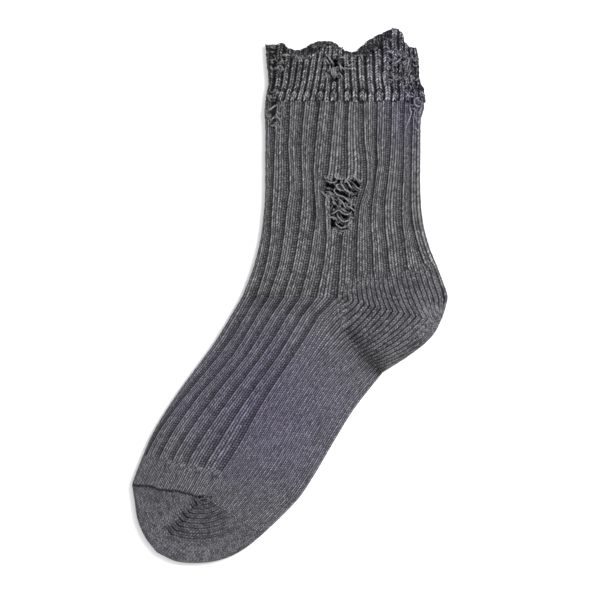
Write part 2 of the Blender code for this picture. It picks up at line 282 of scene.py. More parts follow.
# ---- Loose yarn: how high it lies over the cloth, then its way in plan. Its ends are tucked in. ----
# the strands left across the ankle hole
ANKLE_YARN = (
    (0.1, [(29.5, 62.5), (30.5, 61.5), (32, 60), (33, 58.5), (34.5, 57)]),
    (0.4, [(27, 60), (28.5, 59), (29.5, 57.5), (30.5, 56.5), (32, 55.5), (34, 54)]),
    (0.2, [(27, 59.5), (25.5, 59), (26, 57.5), (27.5, 56.5), (29, 56)]),
    (0.6, [(25.5, 58), (24.5, 56), (25, 55), (26, 54), (28, 53), (29.5, 52.5), (31.5, 51), (33, 49)]),
    (0.1, [(26, 52), (27.5, 51), (29, 49.5), (30, 47.5), (31.5, 46.5)]),
    (-0.1, [(16, 55.5), (17.5, 55.5), (19.5, 53.5), (21, 51.5), (21.5, 49)]),
    (-0.2, [(19.5, 55.5), (21, 55.5), (22.5, 55), (24, 54), (26, 52.5)]),
    (-0.4, [(21.5, 53.5), (23, 52.5), (24, 51), (24, 49)]),
    (0.1, [(30.5, 50), (31.5, 47.5), (33, 47), (34.5, 46), (36, 44.5)]),
    (-0.6, [(25, 49.5), (26, 47.5), (25.5, 46)]),
    (-0.5, [(26.5, 49), (27.5, 47.5), (28, 46)]),
    (0.5, [(22.5, 43.5), (24, 44), (26.5, 45.5), (28, 44.5), (29.5, 43.5), (31.5, 43), (33, 43.5), (34, 45)]),
    (0.2, [(27.5, 46.5), (28.5, 46), (30, 45), (31.5, 44.5)]),
    (0.4, [(26, 44), (26.5, 42), (27.5, 41), (28.5, 40), (29.5, 39.5), (31.5, 39.5), (33, 41)]),
    (0.3, [(20.5, 40), (22, 41.5), (24.5, 41.5), (25.5, 40.5), (26, 39)]),
    (0.0, [(25, 39.5), (25.5, 38), (26.5, 37), (28.5, 36), (30, 36.5), (30.5, 37.5)]),
    (0.1, [(32, 35.5), (32, 37.5), (33.5, 39), (34, 41)]),
    (0.0, [(22.5, 36.5), (21.5, 34.5), (21, 33)]),
    (-0.1, [(19.5, 62), (21, 61), (22.5, 60.5), (24.5, 60.5), (26, 61.5)]),
    (0.0, [(25, 61.5), (26, 62.5), (27.5, 62.5), (29, 61.5)]),
    (0.0, [(35, 60), (36.5, 58), (38, 57), (40, 56)]),
    (0.1, [(34.5, 63), (35.5, 63.5), (37, 61.5), (38.5, 59.5)]),
    (-0.8, [(31, 57), (32, 56), (31, 55)]),
    (-0.9, [(33.5, 56.5), (34, 53.5), (33, 50.5)]),
    (-0.7, [(22, 49.5), (23.5, 48), (22.5, 46), (23.5, 44.5)]),
    (-0.3, [(32, 52.5), (33, 50.5), (33, 48)]),
    (0.0, [(26.5, 34.5), (28.5, 34), (30.5, 35)]),
    (0.0, [(20, 48.5), (21, 47), (21.5, 45)]),
)
# ends of wales that hang as open loops at the hole's edge: the loop's tip, its half width and its length
ANKLE_LOOPS = (
    (20, 62.5, 0.7, 2), (22, 62, 0.6, 2.5), (25.5, 63, 0.7, 3.5), (28.5, 62, 0.6, 2.5),
    (31, 62, 0.7, 3.5), (35.5, 63, 0.7, 3), (38.5, 61, 0.7, 2),
    (25, 34, 0.6, -2.5), (27.5, 33.5, 0.6, -2), (30.5, 34.5, 0.7, -3), (33, 36, 0.6, -2),
)
# the unravelled spots of the cuff
CUFF_YARN = (
    (0.6, [(18, 133), (18, 131.5), (18, 129.5)]),
    (0.7, [(19.5, 129.5), (21, 129), (22, 127.5), (23, 126), (24, 124.5)]),
    (0.7, [(18.5, 128.5), (20, 127), (21, 126), (21, 124.5)]),
    (0.6, [(23.5, 127), (24.5, 129), (25.5, 129.5), (26.5, 128.5)]),
    (0.6, [(23, 130), (23.5, 132), (24, 132.5), (25.5, 132), (26, 130.5)]),
    (0.5, [(26, 131), (27.5, 131.5), (28.5, 132.5), (29, 133.5)]),
    (0.4, [(25.5, 127), (27.5, 128), (29.5, 128), (31, 129)]),
    (0.8, [(26, 125.5), (27.5, 124), (28, 122), (28.5, 120.5)]),
    (0.8, [(26, 122.5), (28, 123), (29.5, 122), (31, 122.5), (32.5, 122), (34.5, 122.5)]),
    (1.2, [(24, 122.5), (23, 121), (23, 119), (24.5, 116.5)]),
    (1.5, [(24, 122.5), (24, 121), (24, 119), (24.5, 117)]),
    (1.3, [(24.5, 122), (25, 120.5), (25, 118.5), (24.5, 117)]),
    (0.5, [(32, 126), (33.5, 126.5), (34.5, 127.5), (36.5, 127.5)]),
    (0.5, [(30.5, 124.5), (32, 123.5), (34, 124.5), (35.5, 124)]),
    (0.4, [(37.5, 129), (39, 129), (39.5, 127.5), (40, 126)]),
    (0.5, [(26, 119.5), (27.5, 119), (28.5, 117.5), (27.5, 116)]),
    (0.5, [(20.5, 120), (20, 118), (19, 116.5)]),
    (0.4, [(22, 124), (22, 121.5), (21.5, 119.5)]),
    (0.4, [(-10, 124), (-9, 122), (-8, 121)]),
    (0.4, [(-7, 121.5), (-6, 122.5), (-4.5, 124)]),
    (0.4, [(-4, 129), (-2.5, 129.5), (-0.5, 129.5), (0, 128)]),
    (0.4, [(-4, 124), (-3.5, 122.5), (-2, 121)]),
    (0.8, [(50, 133), (52, 134), (53.5, 133.5), (54.5, 132)]),
    (0.8, [(51.5, 131), (53, 131.5), (54.5, 131), (56, 130)]),
    (0.7, [(52, 128.5), (54, 127.5), (55, 126)]),
    (0.7, [(55.5, 129), (57, 128), (56.5, 126.5), (55.5, 125)]),
    (0.7, [(60.5, 127.5), (59, 126), (57.5, 125), (56.5, 123.5)]),
    (0.6, [(57.5, 130), (59, 129.5), (60, 128.5)]),
    (0.6, [(65.5, 128.5), (64.5, 126), (64, 123.5), (63, 120.5)]),
    (0.5, [(61, 125), (60.5, 123), (60.5, 121)]),
    (0.9, [(54.5, 120), (56, 119), (56.5, 117.5), (56, 116)]),
    (0.5, [(50.5, 120), (51, 117), (51.5, 114), (51.5, 112)]),
    (0.7, [(62.5, 87.5), (63, 90), (64, 92.5), (65, 95.5), (65.5, 98), (65, 100.5), (64, 104)]),
    (0.6, [(62.5, 110), (63.5, 108.5), (65.5, 108)]),
    (0.6, [(66, 104.5), (67.5, 105.5), (69, 106), (70.5, 105.5)]),
    (0.6, [(65.5, 102.5), (67, 102.5), (68.5, 101.5), (70, 102.5)]),
    (0.5, [(65.5, 100.5), (67, 100.5), (68, 99)]),
    (0.5, [(67, 96), (68.5, 94.5), (68, 92.5)]),
    (0.5, [(66.5, 91), (68, 89.5), (69, 88.5), (69.5, 87)]),
    (0.3, [(-11.5, 107), (-10.5, 105.5), (-9, 104)]),
    (0.3, [(-11, 101), (-9.5, 100), (-8, 101.5), (-5.5, 103)]),
    (0.3, [(-11, 95.5), (-9, 94.5), (-7.5, 95.5), (-6, 94)]),
    (0.3, [(-10.5, 92), (-8.5, 91), (-7, 92.5)]),
    (0.4, [(-5.5, 99), (-6.5, 96.5), (-5, 94), (-4.5, 91)]),
)
# the tail of the toe's linking yarn, at the inner end of the seam
TOE_YARN = (
    (0.6, [(-46.5, -110), (-48.5, -110.5), (-49.5, -112), (-48, -113.5), (-47, -112)]),
    (0.5, [(-46, -109), (-44, -108.5), (-41, -108.5), (-39, -108)]),
    (0.4, [(-46, -111.5), (-43.5, -111), (-41, -110.5)]),
)


# ======================================================================== numbers and curves


def hermite(stations, values, at):
    """A smooth curve through the values at the stations. values is (..., stations, k); at is (...)."""
    stations = np.asarray(stations, float)
    values = np.asarray(values, float)
    at = np.asarray(at, float)
    slopes = np.gradient(values, stations, axis=-2)
    low = np.clip(np.searchsorted(stations, at, "right") - 1, 0, len(stations) - 2)
    span = stations[low + 1] - stations[low]
    s = (np.clip(at, stations[0], stations[-1]) - stations[low]) / span

    def pick(table, index):
        if table.ndim == 2:
            return table[index]
        return np.take_along_axis(table, index[..., None, None], -2)[..., 0, :]

    s, span = s[..., None], span[..., None]
    return (
        (2 * s**3 - 3 * s**2 + 1) * pick(values, low)
        + (s**3 - 2 * s**2 + s) * span * pick(slopes, low)
        + (3 * s**2 - 2 * s**3) * pick(values, low + 1)
        + (s**3 - s**2) * span * pick(slopes, low + 1)
    )


def from_table(table, at):
    """A smooth number read from a table of place: number."""
    keys = sorted(table)
    return hermite(keys, [[table[k]] for k in keys], at)[..., 0]


def along(points, at):
    """A smooth curve through evenly numbered points, at 0 to 1."""
    return hermite(np.linspace(0, 1, len(points)), points, at)


def smooth(low, high, x):
    s = np.clip((x - low) / (high - low), 0, 1)
    return s * s * (3 - 2 * s)


def net(lines, stations, wale, share):
    """A place in plan on a net of lines along the wales."""
    keys = sorted(lines)
    rows = np.stack([hermite(stations, lines[k], share) for k in keys], -2)
    return hermite(keys, rows, wale)


def inside(polygon, x, y):
    """Whether points lie in a polygon, by counting its edges to one side."""
    found = np.zeros(x.shape, bool)
    for (ax, ay), (bx, by) in zip(polygon, polygon[1:] + polygon[:1]):
        crosses = (ay > y) != (by > y)
        rise = (by - ay) if by != ay else 1e-9
        found ^= crosses & (x < (bx - ax) * (y - ay) / rise + ax)
    return found


def ripple(x, y, size, seed):
    """Slow uneven waves between about -1 and 1."""
    total = np.zeros(np.shape(x))
    for k in range(4):
        turn = 0.9 + 2.17 * k + 1.31 * seed
        pitch = size * (1.0 + 0.37 * k)
        wave = math.cos(turn) * x + math.sin(turn) * y
        total = total + np.sin(wave * 2 * math.pi / pitch + 2.1 * seed + 1.7 * k)
    return total / 2.6


# ======================================================================== the laid plan


def from_line(x, y, start, end):
    """Distance of places in plan from the line between two others."""
    (ax, ay), (bx, by) = start, end
    dx, dy = bx - ax, by - ay
    s = np.clip(((x - ax) * dx + (y - ay) * dy) / (dx * dx + dy * dy), 0, 1)
    return np.hypot(x - ax - s * dx, y - ay - s * dy)


def creased(creases, x, y, spread=1.0):
    """How deep the cloth is creased at places in plan."""
    total = np.zeros(np.shape(x))
    for start, end, width, depth in creases:
        total += depth * np.exp(-((from_line(x, y, start, end) / (width * spread)) ** 2))
    return total


def shove(plan):
    """Plan places with the pushed and the tangled spots moved."""
    x, y = plan[..., 0], plan[..., 1]
    dx, dy = np.zeros(x.shape), np.zeros(x.shape)
    for px, py, reach, push_x, push_y in PUSHES:
        weight = np.exp(-((x - px) ** 2 + (y - py) ** 2) / reach**2)
        dx, dy = dx + push_x * weight, dy + push_y * weight
    away = from_line(x, y, TOE_CORNER, TOE_FRONT)
    wander = ripple(x, x * 0, 11.0, 12) + 0.6 * ripple(x, x * 0, 4.0, 13)
    inner = smooth(TOE_FRONT[0], TOE_FRONT[0] + 5.0, x)
    dy = dy + SEAM_WANDER * wander * np.exp(-((away / 3.0) ** 2)) * inner
    return plan + np.stack([dx, dy], -1)


def tangle(x, y):
    """How tangled the knit is at a place, from 0 to 1."""
    total = np.zeros(np.shape(x))
    for px, py, reach_x, reach_y, strength in TANGLES:
        far = ((x - px) / reach_x) ** 2 + ((y - py) / reach_y) ** 2
        total = np.maximum(total, strength * np.exp(-(far**1.5)))
    return total


def drift(table, stations, wale, course):
    """How far the knit at a wale and course has wandered along its own course, in wales."""
    keys = sorted(table)
    rows = np.stack([np.interp(course, stations, table[k]) for k in keys], -1)
    return hermite(keys, rows[..., None], wale)[..., 0]


def leg_drift(wale, course):
    return drift(LEG_DRIFT, LEG_DRIFT_AT, wale, course)


def foot_drift(wale, course):
    return drift(FOOT_DRIFT, FOOT_DRIFT_AT, wale, course)


def leg_line(wale):
    """Points along a wale of the leg, from the cuff down."""
    length, across = LEG_LINES[wale]
    return [(x, CUFF_LOW - length * at) for at, x in zip(LEG_AT, across)]


def sole_line(wale):
    """Points along a wale of the sole. It starts on the crease and soon lies evenly beside the others."""
    out = (wale - FRONT) / (FACE - FRONT)
    even = foot_line(FRONT) * (1 - out) + foot_line(FACE) * out
    fade = np.clip(1 - 2 * FOOT_AT, 0, 1) ** CREASE_FADE
    return even + (np.array(HEEL_CREASE[wale]) - even[0]) * fade[:, None]


def foot_line(wale):
    """Points along a wale of the foot, from the ankle to the toe."""
    return along(FOOT_LINES[wale], FOOT_AT)


LEG_FRONT = {wale: leg_line(wale) for wale in (0, 12, FRONT)}
LEG_BACK = {wale: leg_line(wale) for wale in (FRONT, 27, 36, FACE)}
FOOT_FRONT = {wale: foot_line(wale) for wale in (0, FRONT)}
FOOT_SOLE = {wale: sole_line(wale) for wale in HEEL_CREASE}


def two_nets(front, back, stations, wale, share):
    """A place in plan on the net before the middle line, or on the one behind it."""
    before = net(front, stations, np.minimum(wale, FRONT), share)
    behind = net(back, stations, np.maximum(wale, FRONT), share)
    return np.where((wale <= FRONT)[..., None], before, behind)


def leg_plan(wale, share):
    return two_nets(LEG_FRONT, LEG_BACK, LEG_AT, wale, share)


def foot_plan(wale, share):
    return two_nets(FOOT_FRONT, FOOT_SOLE, FOOT_AT, wale, share)


def cuff_lean(wale, height):
    """x of places on the leg's first course, and the x that they have leaned to at a height above it."""
    low = leg_plan(wale, np.zeros_like(wale))[..., 0]
    return low, low + from_table(CUFF_LEAN, low) * height


def cuff_plan(wale, height):
    """The cuff's places in plan, with its fold edges drawn in."""
    low, leaned = cuff_lean(wale, height)
    left, right = from_table(CUFF_FRONT_EDGE, height), from_table(CUFF_BACK_EDGE, height)
    foot_left, foot_right = LEG_FRONT[0][0][0], LEG_BACK[FACE][0][0]
    place = np.clip((low - foot_left) / (foot_right - foot_left), 0, 1)
    drawn_in = (left - foot_left) * (1 - place) ** 4 + (right - foot_right) * place**4
    return np.stack([leaned + drawn_in, CUFF_LOW + height], -1)


def bowed(first, last, share, bow):
    """Places between two others, on a line that bows out sideways."""
    s = share[..., None]
    chord = last - first
    normal = np.stack([-chord[..., 1], chord[..., 0]], -1)
    normal = normal / np.maximum(np.linalg.norm(normal, axis=-1, keepdims=True), 1e-6)
    return first + chord * s + normal * (4 * s * (1 - s)) * bow


def pocket_half(wale, share, start, end, outline, bow):
    """Wales of the heel pocket between two lines across them, bowed, the last one along the outline."""
    straight = bowed(start(wale), end(wale), share, from_table(bow, wale)[..., None])
    outer = np.full_like(wale, FACE)
    plain = bowed(start(outer), end(outer), share, bow[FACE])
    return straight + (along(outline, share) - plain) * smooth(HEEL_OUTER, FACE, wale)[..., None]


def heel_gore(wale):
    keys = sorted(HEEL_GORE)
    return hermite(keys, [HEEL_GORE[k] for k in keys], wale)


def heel_upper_plan(wale, share):
    def start(w):
        return leg_plan(np.maximum(w, FRONT + 1e-6), np.ones_like(w))

    return pocket_half(wale, share, start, heel_gore, HEEL_OUT_UPPER, HEEL_BOW_UPPER)


def heel_lower_plan(wale, share):
    """share runs from the heel's end, at the sole, back to the gore."""

    def start(w):
        return foot_plan(np.maximum(w, FRONT + 1e-6), np.zeros_like(w))

    return pocket_half(wale, share, start, heel_gore, HEEL_OUT_LOWER[::-1], HEEL_BOW_LOWER)


def toe_lower_plan(wale, share):
    out = (wale - FRONT)[..., None] / (FACE - FRONT)
    corner = np.array(TOE_CORNER)
    shape = along(TOE_IN_LOWER, share) * (1 - out**2) + along(TOE_OUT_LOWER, share) * out**2
    return corner + (shape - corner) * out


def toe_upper_plan(wale, share):
    """share runs from the linking seam back to the gore."""
    out = (wale - FRONT)[..., None] / (FACE - FRONT)
    corner = np.array(TOE_CORNER)
    return corner + (along(TOE_OUT_UPPER[::-1], share) - corner) * out


def outline():
    """The fold edges all round the sock, from above the rim down the front, round the toe and up the back."""
    fine = np.linspace(0, 1, 60)
    up = np.linspace(EDGE_TALL, 0, 40)
    cuff_left = np.stack([from_table(CUFF_FRONT_EDGE, up), CUFF_LOW + up], -1)
    cuff_right = np.stack([from_table(CUFF_BACK_EDGE, up), CUFF_LOW + up], -1)
    runs = [
        cuff_left,
        hermite(LEG_AT, LEG_FRONT[0], fine),
        hermite(FOOT_AT, FOOT_FRONT[0], fine),
        along(TOE_OUT_UPPER[::-1], fine),
        along(TOE_OUT_LOWER[::-1], fine),
        hermite(FOOT_AT, FOOT_SOLE[FACE], fine[::-1]),
        along(HEEL_OUT_LOWER[::-1], fine),
        along(HEEL_OUT_UPPER[::-1], fine),
        hermite(LEG_AT, LEG_BACK[FACE], fine[::-1]),
        cuff_right[::-1],
    ]
    points = shove(np.concatenate(runs))
    apart = np.linalg.norm(np.diff(points, axis=0), axis=1)
    return points[np.concatenate([[True], apart > 0.05])]


EDGE = outline()


def from_edge(plan):
    """Distance of plan places from the outline, and the direction in from it."""
    flat = plan.reshape(-1, 2)
    along_edge = np.diff(EDGE, axis=0)
    length = np.linalg.norm(along_edge, axis=1)
    step = along_edge / length[:, None]
    turn = np.gradient(EDGE, axis=0)
    turn = turn / np.linalg.norm(turn, axis=1, keepdims=True)
    inward = np.stack([-turn[:, 1], turn[:, 0]], -1)
    distance, direction = np.empty(len(flat)), np.empty((len(flat), 2))
    for first in range(0, len(flat), 4000):
        part = flat[first : first + 4000]
        offset = part[:, None, :] - EDGE[None, :-1, :]
        reach = np.clip((offset * step).sum(-1), 0, length)
        away = offset - reach[..., None] * step
        squared = (away**2).sum(-1)
        best = squared.argmin(1)
        rows = np.arange(len(part))
        share = (reach[rows, best] / length[best])[:, None]
        normal = inward[best] * (1 - share) + inward[best + 1] * share
        normal /= np.linalg.norm(normal, axis=1, keepdims=True)
        distance[first : first + 4000] = np.sqrt(squared[rows, best])
        direction[first : first + 4000] = normal
    return distance.reshape(plan.shape[:-1]), direction.reshape(plan.shape)


def crown(x, y, distance):
    """How far the upper layer stands above its height at the folds."""
    height = 0.9 + np.zeros(np.shape(x))
    for px, py, reach, puff in PUFFS:
        height += puff * np.exp(-((x - px) ** 2 + (y - py) ** 2) / reach**2)
    height += 0.16 * ripple(x, y, 46.0, 1) + 0.10 * ripple(x, y, 19.0, 2)
    height *= smooth(0.0, 15.0, distance)
    height -= creased(CREASES, x, y) * smooth(0.0, 4.0, distance)
    return np.maximum(height, -0.6)


def folded_shade(place, upper):
    """Painted shade in the cloth's creases, on the upper and the under layer, where the folds would lie in
    shade.
    """
    x, y = place[..., 0], place[..., 1]
    return 0.6 * np.where(upper, creased(CREASES, x, y, 0.85), creased(UNDER_CREASES, x, y, 0.85))


def envelope(plan, upper, fold, lift=0.0):
    """The place and the outward direction of the cloth's outer side. upper marks the upper layer's points."""
    plan = shove(plan)
    x, y = plan[..., 0], plan[..., 1]
    messy = tangle(x, y)
    distance, inward = from_edge(plan)
    keep = smooth(0.0, 3.0, distance) * messy
    swirl = np.stack([ripple(x, y, 6.4, 3), ripple(x, y, 5.3, 4)], -1)
    plan = plan + swirl * (0.55 * keep)[..., None]
    spare = (math.pi / 2 - 1) * fold
    arc = distance + spare * (1 - np.exp(-distance / 3.0))
    angle = np.minimum(arc / fold, math.pi / 2)
    offset = np.where(arc < fold * math.pi / 2, fold * (1 - np.cos(angle)), arc - spare)
    plan = plan + inward * (offset - distance)[..., None]
    rise = fold * np.sin(angle)
    swell = crown(x, y, distance) + 0.55 * keep * ripple(x, y, 5.0, 5) + lift * smooth(0, 5, distance)
    under = 0.25 * smooth(2, 14, distance) * (1 + ripple(x, y, 31.0, 6)) * 0.5
    under += creased(UNDER_CREASES, x, y) * smooth(0.0, 4.0, distance)
    height = np.where(upper, fold + rise + swell, fold - rise + under)
    out = np.cos(angle)[..., None] * -inward
    up = np.where(upper, np.sin(angle), -np.sin(angle))
    place = np.concatenate([plan, height[..., None]], -1)
    return place, np.concatenate([out, up[..., None]], -1)


# ======================================================================== wales and ribs


def rib_shift(wale, rib, places):
    """How far a column moves when its wales take their places in a rib, with the folds kept."""
    knots = (0, FRONT, FACE, TUBE - FRONT, TUBE)

    def placed(w):
        begin = np.floor(w / rib) * rib
        steps = np.linspace(0, rib, len(places))
        return begin + rib * np.interp(w - begin, steps, places)

    moved = placed(wale)
    at = placed(np.array(knots, float))
    moved = np.interp(moved, at, knots)
    return moved - wale


def face_wale(wale):
    """The wale of the upper layer that a place lies on or over."""
    return np.where(wale <= FACE, wale, TUBE - wale)


# ======================================================================== one strip of knit


class Strip:
    """A stretch of knit with whole columns: where it lies, how long each column is, and what it looks like.

    plan(wale, share) lays it out, with share from 0 at the first course to 1 at the last. length is the
    number of courses of each column. towards is 1 where courses run to the toe, and -1 to the cuff."""

    def __init__(self, plan, length, wales, towards, look, wander=None, hole=None):
        self.plan, self.length, self.wales, self.towards = plan, length, wales, towards
        self.look, self.wander, self.hole = look, wander, hole

    def columns(self):
        count = (self.wales[1] - self.wales[0]) * PER_WALE
        return self.wales[0] + np.arange(count + 1) / PER_WALE

    def settle(self, wale, course, even_ribs=False):
        """The look of points, the wale and the course that they have moved to, and their columns' length."""
        across, upper = face_wale(wale), wale <= FACE
        total = np.maximum(self.length(across, upper), 1e-6)
        held = np.minimum(course, total)
        look = self.look(wale, across, held, total)
        moved = face_wale(wale + look["rib"] * rib_shift(wale, look["period"], look["places"]))
        if self.wander is not None:
            moved = moved + self.wander(moved, held) * np.where(upper, 1.0, UNDER_WANDER)
        purl = (1.0 if even_ribs else look["rib"]) * (np.mod(wale, look["period"]) > look["period"] / 2)
        leaning = np.abs(2 * np.mod(wale, 1) - 1) - 0.5
        ease = np.clip(np.minimum(held, total - held), 0, 1) * (1 - purl)
        leant = np.clip(held + self.towards * SLANT * leaning * ease, 0, total)
        return look, moved, leant, total

    def lay(self, wale, course, fold):
        """The place, the outward direction and the look of the points at these wales and courses."""
        look, moved, leant, total = self.settle(wale, course)
        place, out = envelope(self.plan(moved, leant / total), wale <= FACE, fold)
        return place, out, look


# what each point of a piece of knit carries for its relief and its material; gloom is its painted shade
VALUES = ("wale", "course", "rib", "fade", "dip", "corner", "side", "tangle", "gloom")
DIP, SIDE, GLOOM = VALUES.index("dip"), VALUES.index("side"), VALUES.index("gloom")


def weld(points, faces, corners):
    """One vertex for each place: the new points' rows, and the faces without those that have no area."""
    key = np.round(points / 1e-5).astype(np.int64)
    _, first, index = np.unique(key, axis=0, return_index=True, return_inverse=True)
    index = index.reshape(-1)
    kept_faces, kept_corners = [], []
    for face, uv in zip(faces, corners):
        renamed = index[face]
        if len(set(renamed.tolist())) == len(renamed):
            kept_faces.append(renamed.tolist())
            kept_corners.append(uv)
            continue
        pairs = [(v, c) for n, (v, c) in enumerate(zip(renamed.tolist(), uv)) if v != renamed[n - 1]]
        if len(pairs) > 2 and len({v for v, _ in pairs}) == len(pairs):
            kept_faces.append([v for v, _ in pairs])
            kept_corners.append([c for _, c in pairs])
    return first, kept_faces, kept_corners


def knit_faces(strip, rows, base, inner_base, closed, fine, kept):
    """Faces and UV corners of a strip: its outer side, its inner side and the edges where stitches end."""
    wide = (strip.wales[1] - strip.wales[0]) * PER_WALE
    tall = rows * PER_COURSE
    flip = strip.towards < 0

    def outer(i, j):
        return base + i * (wide + 1) + (j % wide if closed else j)

    inner_step = (1, 1) if fine else (PER_COURSE, PER_WALE)
    inner_wide = wide // inner_step[1]

    def inner(i, j):
        i, j = i // inner_step[0], j // inner_step[1]
        return inner_base + i * (inner_wide + 1) + (j % inner_wide if closed else j)

    def uv(i, j):
        return np.stack([strip.wales[0] + j / PER_WALE, i / PER_COURSE], -1)

    def quads(find, i, j, di, dj, turn):
        ring = [(i, j), (i + di, j), (i + di, j + dj), (i, j + dj)]
        ring = ring[::-1] if turn else ring
        return np.stack([find(a, b) for a, b in ring], -1), np.stack([uv(a, b) for a, b in ring], -2)

    faces, corners = [], []

    def add(found):
        faces.extend(found[0])
        corners.extend(found[1])

    i, j = np.meshgrid(np.arange(tall), np.arange(wide), indexing="ij")
    mask = kept[i // PER_COURSE, j // PER_WALE]
    add(quads(outer, i[mask], j[mask], 1, 1, flip))
    i, j = np.meshgrid(np.arange(0, tall, inner_step[0]), np.arange(0, wide, inner_step[1]), indexing="ij")
    mask = kept[i // PER_COURSE, j // PER_WALE]
    add(quads(inner, i[mask], j[mask], *inner_step, not flip))

    def is_kept(n, m):
        if closed:
            m = m % kept.shape[1]
        return 0 <= n < kept.shape[0] and 0 <= m < kept.shape[1] and kept[n, m]

    for n, m in zip(*np.nonzero(kept)):
        i, j = n * PER_COURSE, m * PER_WALE
        last_i, last_j = i + PER_COURSE, j + PER_WALE
        sides = (
            (not is_kept(n - 1, m), [(i, b) for b in range(j, last_j + 1)]),
            (not is_kept(n + 1, m), [(last_i, b) for b in range(last_j, j - 1, -1)]),
            (not is_kept(n, m - 1), [(a, j) for a in range(last_i, i - 1, -1)]),
            (not is_kept(n, m + 1), [(a, last_j) for a in range(i, last_i + 1)]),
        )
        for open_side, way in sides:
            if not open_side:
                continue
            runs = [(way[k], way[k + 1]) for k in range(len(way) - 1)] if fine else [None]
            for run in runs:
                path = list(run) if fine else way
                ring = [outer(a, b) for a, b in path]
                ring += [inner(*path[-1]), inner(*path[0])]
                places = [uv(np.array(a), np.array(b)) for a, b in path]
                places += [places[-1], places[0]]
                if flip:
                    ring, places = ring[::-1], places[::-1]
                faces.append(np.array(ring))
                corners.append(np.array(places))
    return faces, corners


def carry(mesh, name, values, kind="FLOAT"):
    """Gives each point of a mesh its number or its vector."""
    field = "value" if kind == "FLOAT" else "vector"
    attribute = mesh.attributes.new(name, kind, "POINT")
    attribute.data.foreach_set(field, np.asarray(values, np.float32).ravel())


def placed_object(name, mesh):
    """An object of a mesh, a light or a camera, linked to the scene and not yet moved."""
    obj = bpy.data.objects.new(name, mesh)
    bpy.context.scene.collection.objects.link(obj)
    return obj


def knit_piece(name, strips, closed, fine, sizes):
    """A plain mesh of one or more strips, with the numbers that the relief and the material read."""
    place_parts, dir_parts, value_parts, faces, corners = [], [], [], [], []
    total = 0
    for strip in strips:
        columns = strip.columns()
        across, upper = face_wale(columns), columns <= FACE
        rows = int(math.ceil(strip.length(across, upper).max() - 1e-6))
        courses = np.arange(rows * PER_COURSE + 1) / PER_COURSE
        wale, course = np.meshgrid(columns, courses)
        place, out, look = strip.lay(wale, course, sizes["fold"])
        middle_wale, middle_course = np.meshgrid(columns[:-1:PER_WALE] + 0.5, np.arange(rows) + 0.5)
        centre = strip.lay(middle_wale, middle_course, sizes["fold"])[0]
        kept = np.ones(middle_wale.shape, bool)
        if strip.hole is not None:
            for polygon in strip.hole:
                kept &= ~(inside(polygon, centre[..., 0], centre[..., 1]) & (middle_wale < FACE))
        step = (1, 1) if fine else (PER_COURSE, PER_WALE)
        inner_place = (place - out * sizes["wall"])[:: step[0], :: step[1]]
        held = np.minimum(course, strip.length(face_wale(wale), wale <= FACE))
        messy = tangle(place[..., 0], place[..., 1])
        # painted shade: the part's own, that in the creases and that under the tangled places' loose yarn
        gloom = look["gloom"] + folded_shade(place, wale <= FACE) + 0.5 * messy * messy
        parts = (wale * look["pattern"], held + 0.5, look["rib"], look["fade"], look["dip"], look["corner"])
        values = np.stack([*parts, np.ones_like(wale), messy, gloom], -1)
        inner_values = values[:: step[0], :: step[1]].copy()
        inner_values[..., SIDE] = -1.0 if fine else 0.0
        inner_values[..., DIP] = 0.0
        # painted shade on the inner side
        inner_values[..., GLOOM] += look["behind"][:: step[0], :: step[1]]
        base, inner_base = total, total + place.shape[0] * place.shape[1]
        total = inner_base + inner_place.shape[0] * inner_place.shape[1]
        new_faces, new_corners = knit_faces(strip, rows, base, inner_base, closed, fine, kept)
        faces += new_faces
        corners += new_corners
        place_parts += [place.reshape(-1, 3), inner_place.reshape(-1, 3)]
        dir_parts += [out.reshape(-1, 3), out[:: step[0], :: step[1]].reshape(-1, 3)]
        value_parts += [values.reshape(-1, len(VALUES)), inner_values.reshape(-1, len(VALUES))]
    points, ways, values = (np.concatenate(p) for p in (place_parts, dir_parts, value_parts))
    first, faces, corners = weld(points, faces, corners)
    points, ways, values = points[first], ways[first], values[first]
    used = np.unique(np.concatenate([np.asarray(f) for f in faces]))
    rename = np.full(len(points), -1)
    rename[used] = np.arange(len(used))
    points, ways, values = points[used], ways[used], values[used]
    mesh = bpy.data.meshes.new(name)
    mesh.from_pydata((points * MM).tolist(), [], [[int(rename[v]) for v in f] for f in faces])
    layer = mesh.uv_layers.new(name="Stitches")
    stitches = np.concatenate([np.asarray(c, float) for c in corners])
    layer.uv.foreach_set("vector", stitches.astype(np.float32).ravel())
    for column, attribute in enumerate(VALUES):
        carry(mesh, attribute, values[:, column])
    carry(mesh, "outward", ways, "FLOAT_VECTOR")
    mesh.validate()
    mesh.update()
    return placed_object(name, mesh)


# ======================================================================== the looks of the strips


def base_look(wale, rib=0.0, period=RIB, places=RIB_PLACES):
    zero = np.zeros_like(wale)
    return {
        "rib": zero + rib,
        "period": period,
        "places": places,
        "pattern": zero + 1.0,
        "fade": zero + 1.0,
        "dip": zero,
        "corner": zero,
        "gloom": zero,
        "behind": zero,  # shade on the inner side
    }


def leg_look(wale, across, course, total):
    look = base_look(wale, 1.0)
    back = across > FRONT
    look["rib"] = np.where(back, 1 - smooth(total - 3.2, total - 0.6, course), 1.0)
    purl = np.mod(wale, RIB) > RIB / 2
    # painted shade: a little less of it in the purl recesses towards the back, and more over the last courses
    # at the back, where the ribs end
    look["gloom"] = -0.06 * purl * smooth(26, 31, across) * look["rib"]
    look["gloom"] += 0.22 * back * smooth(total - 3.4, total - 1.5, course)
    return look


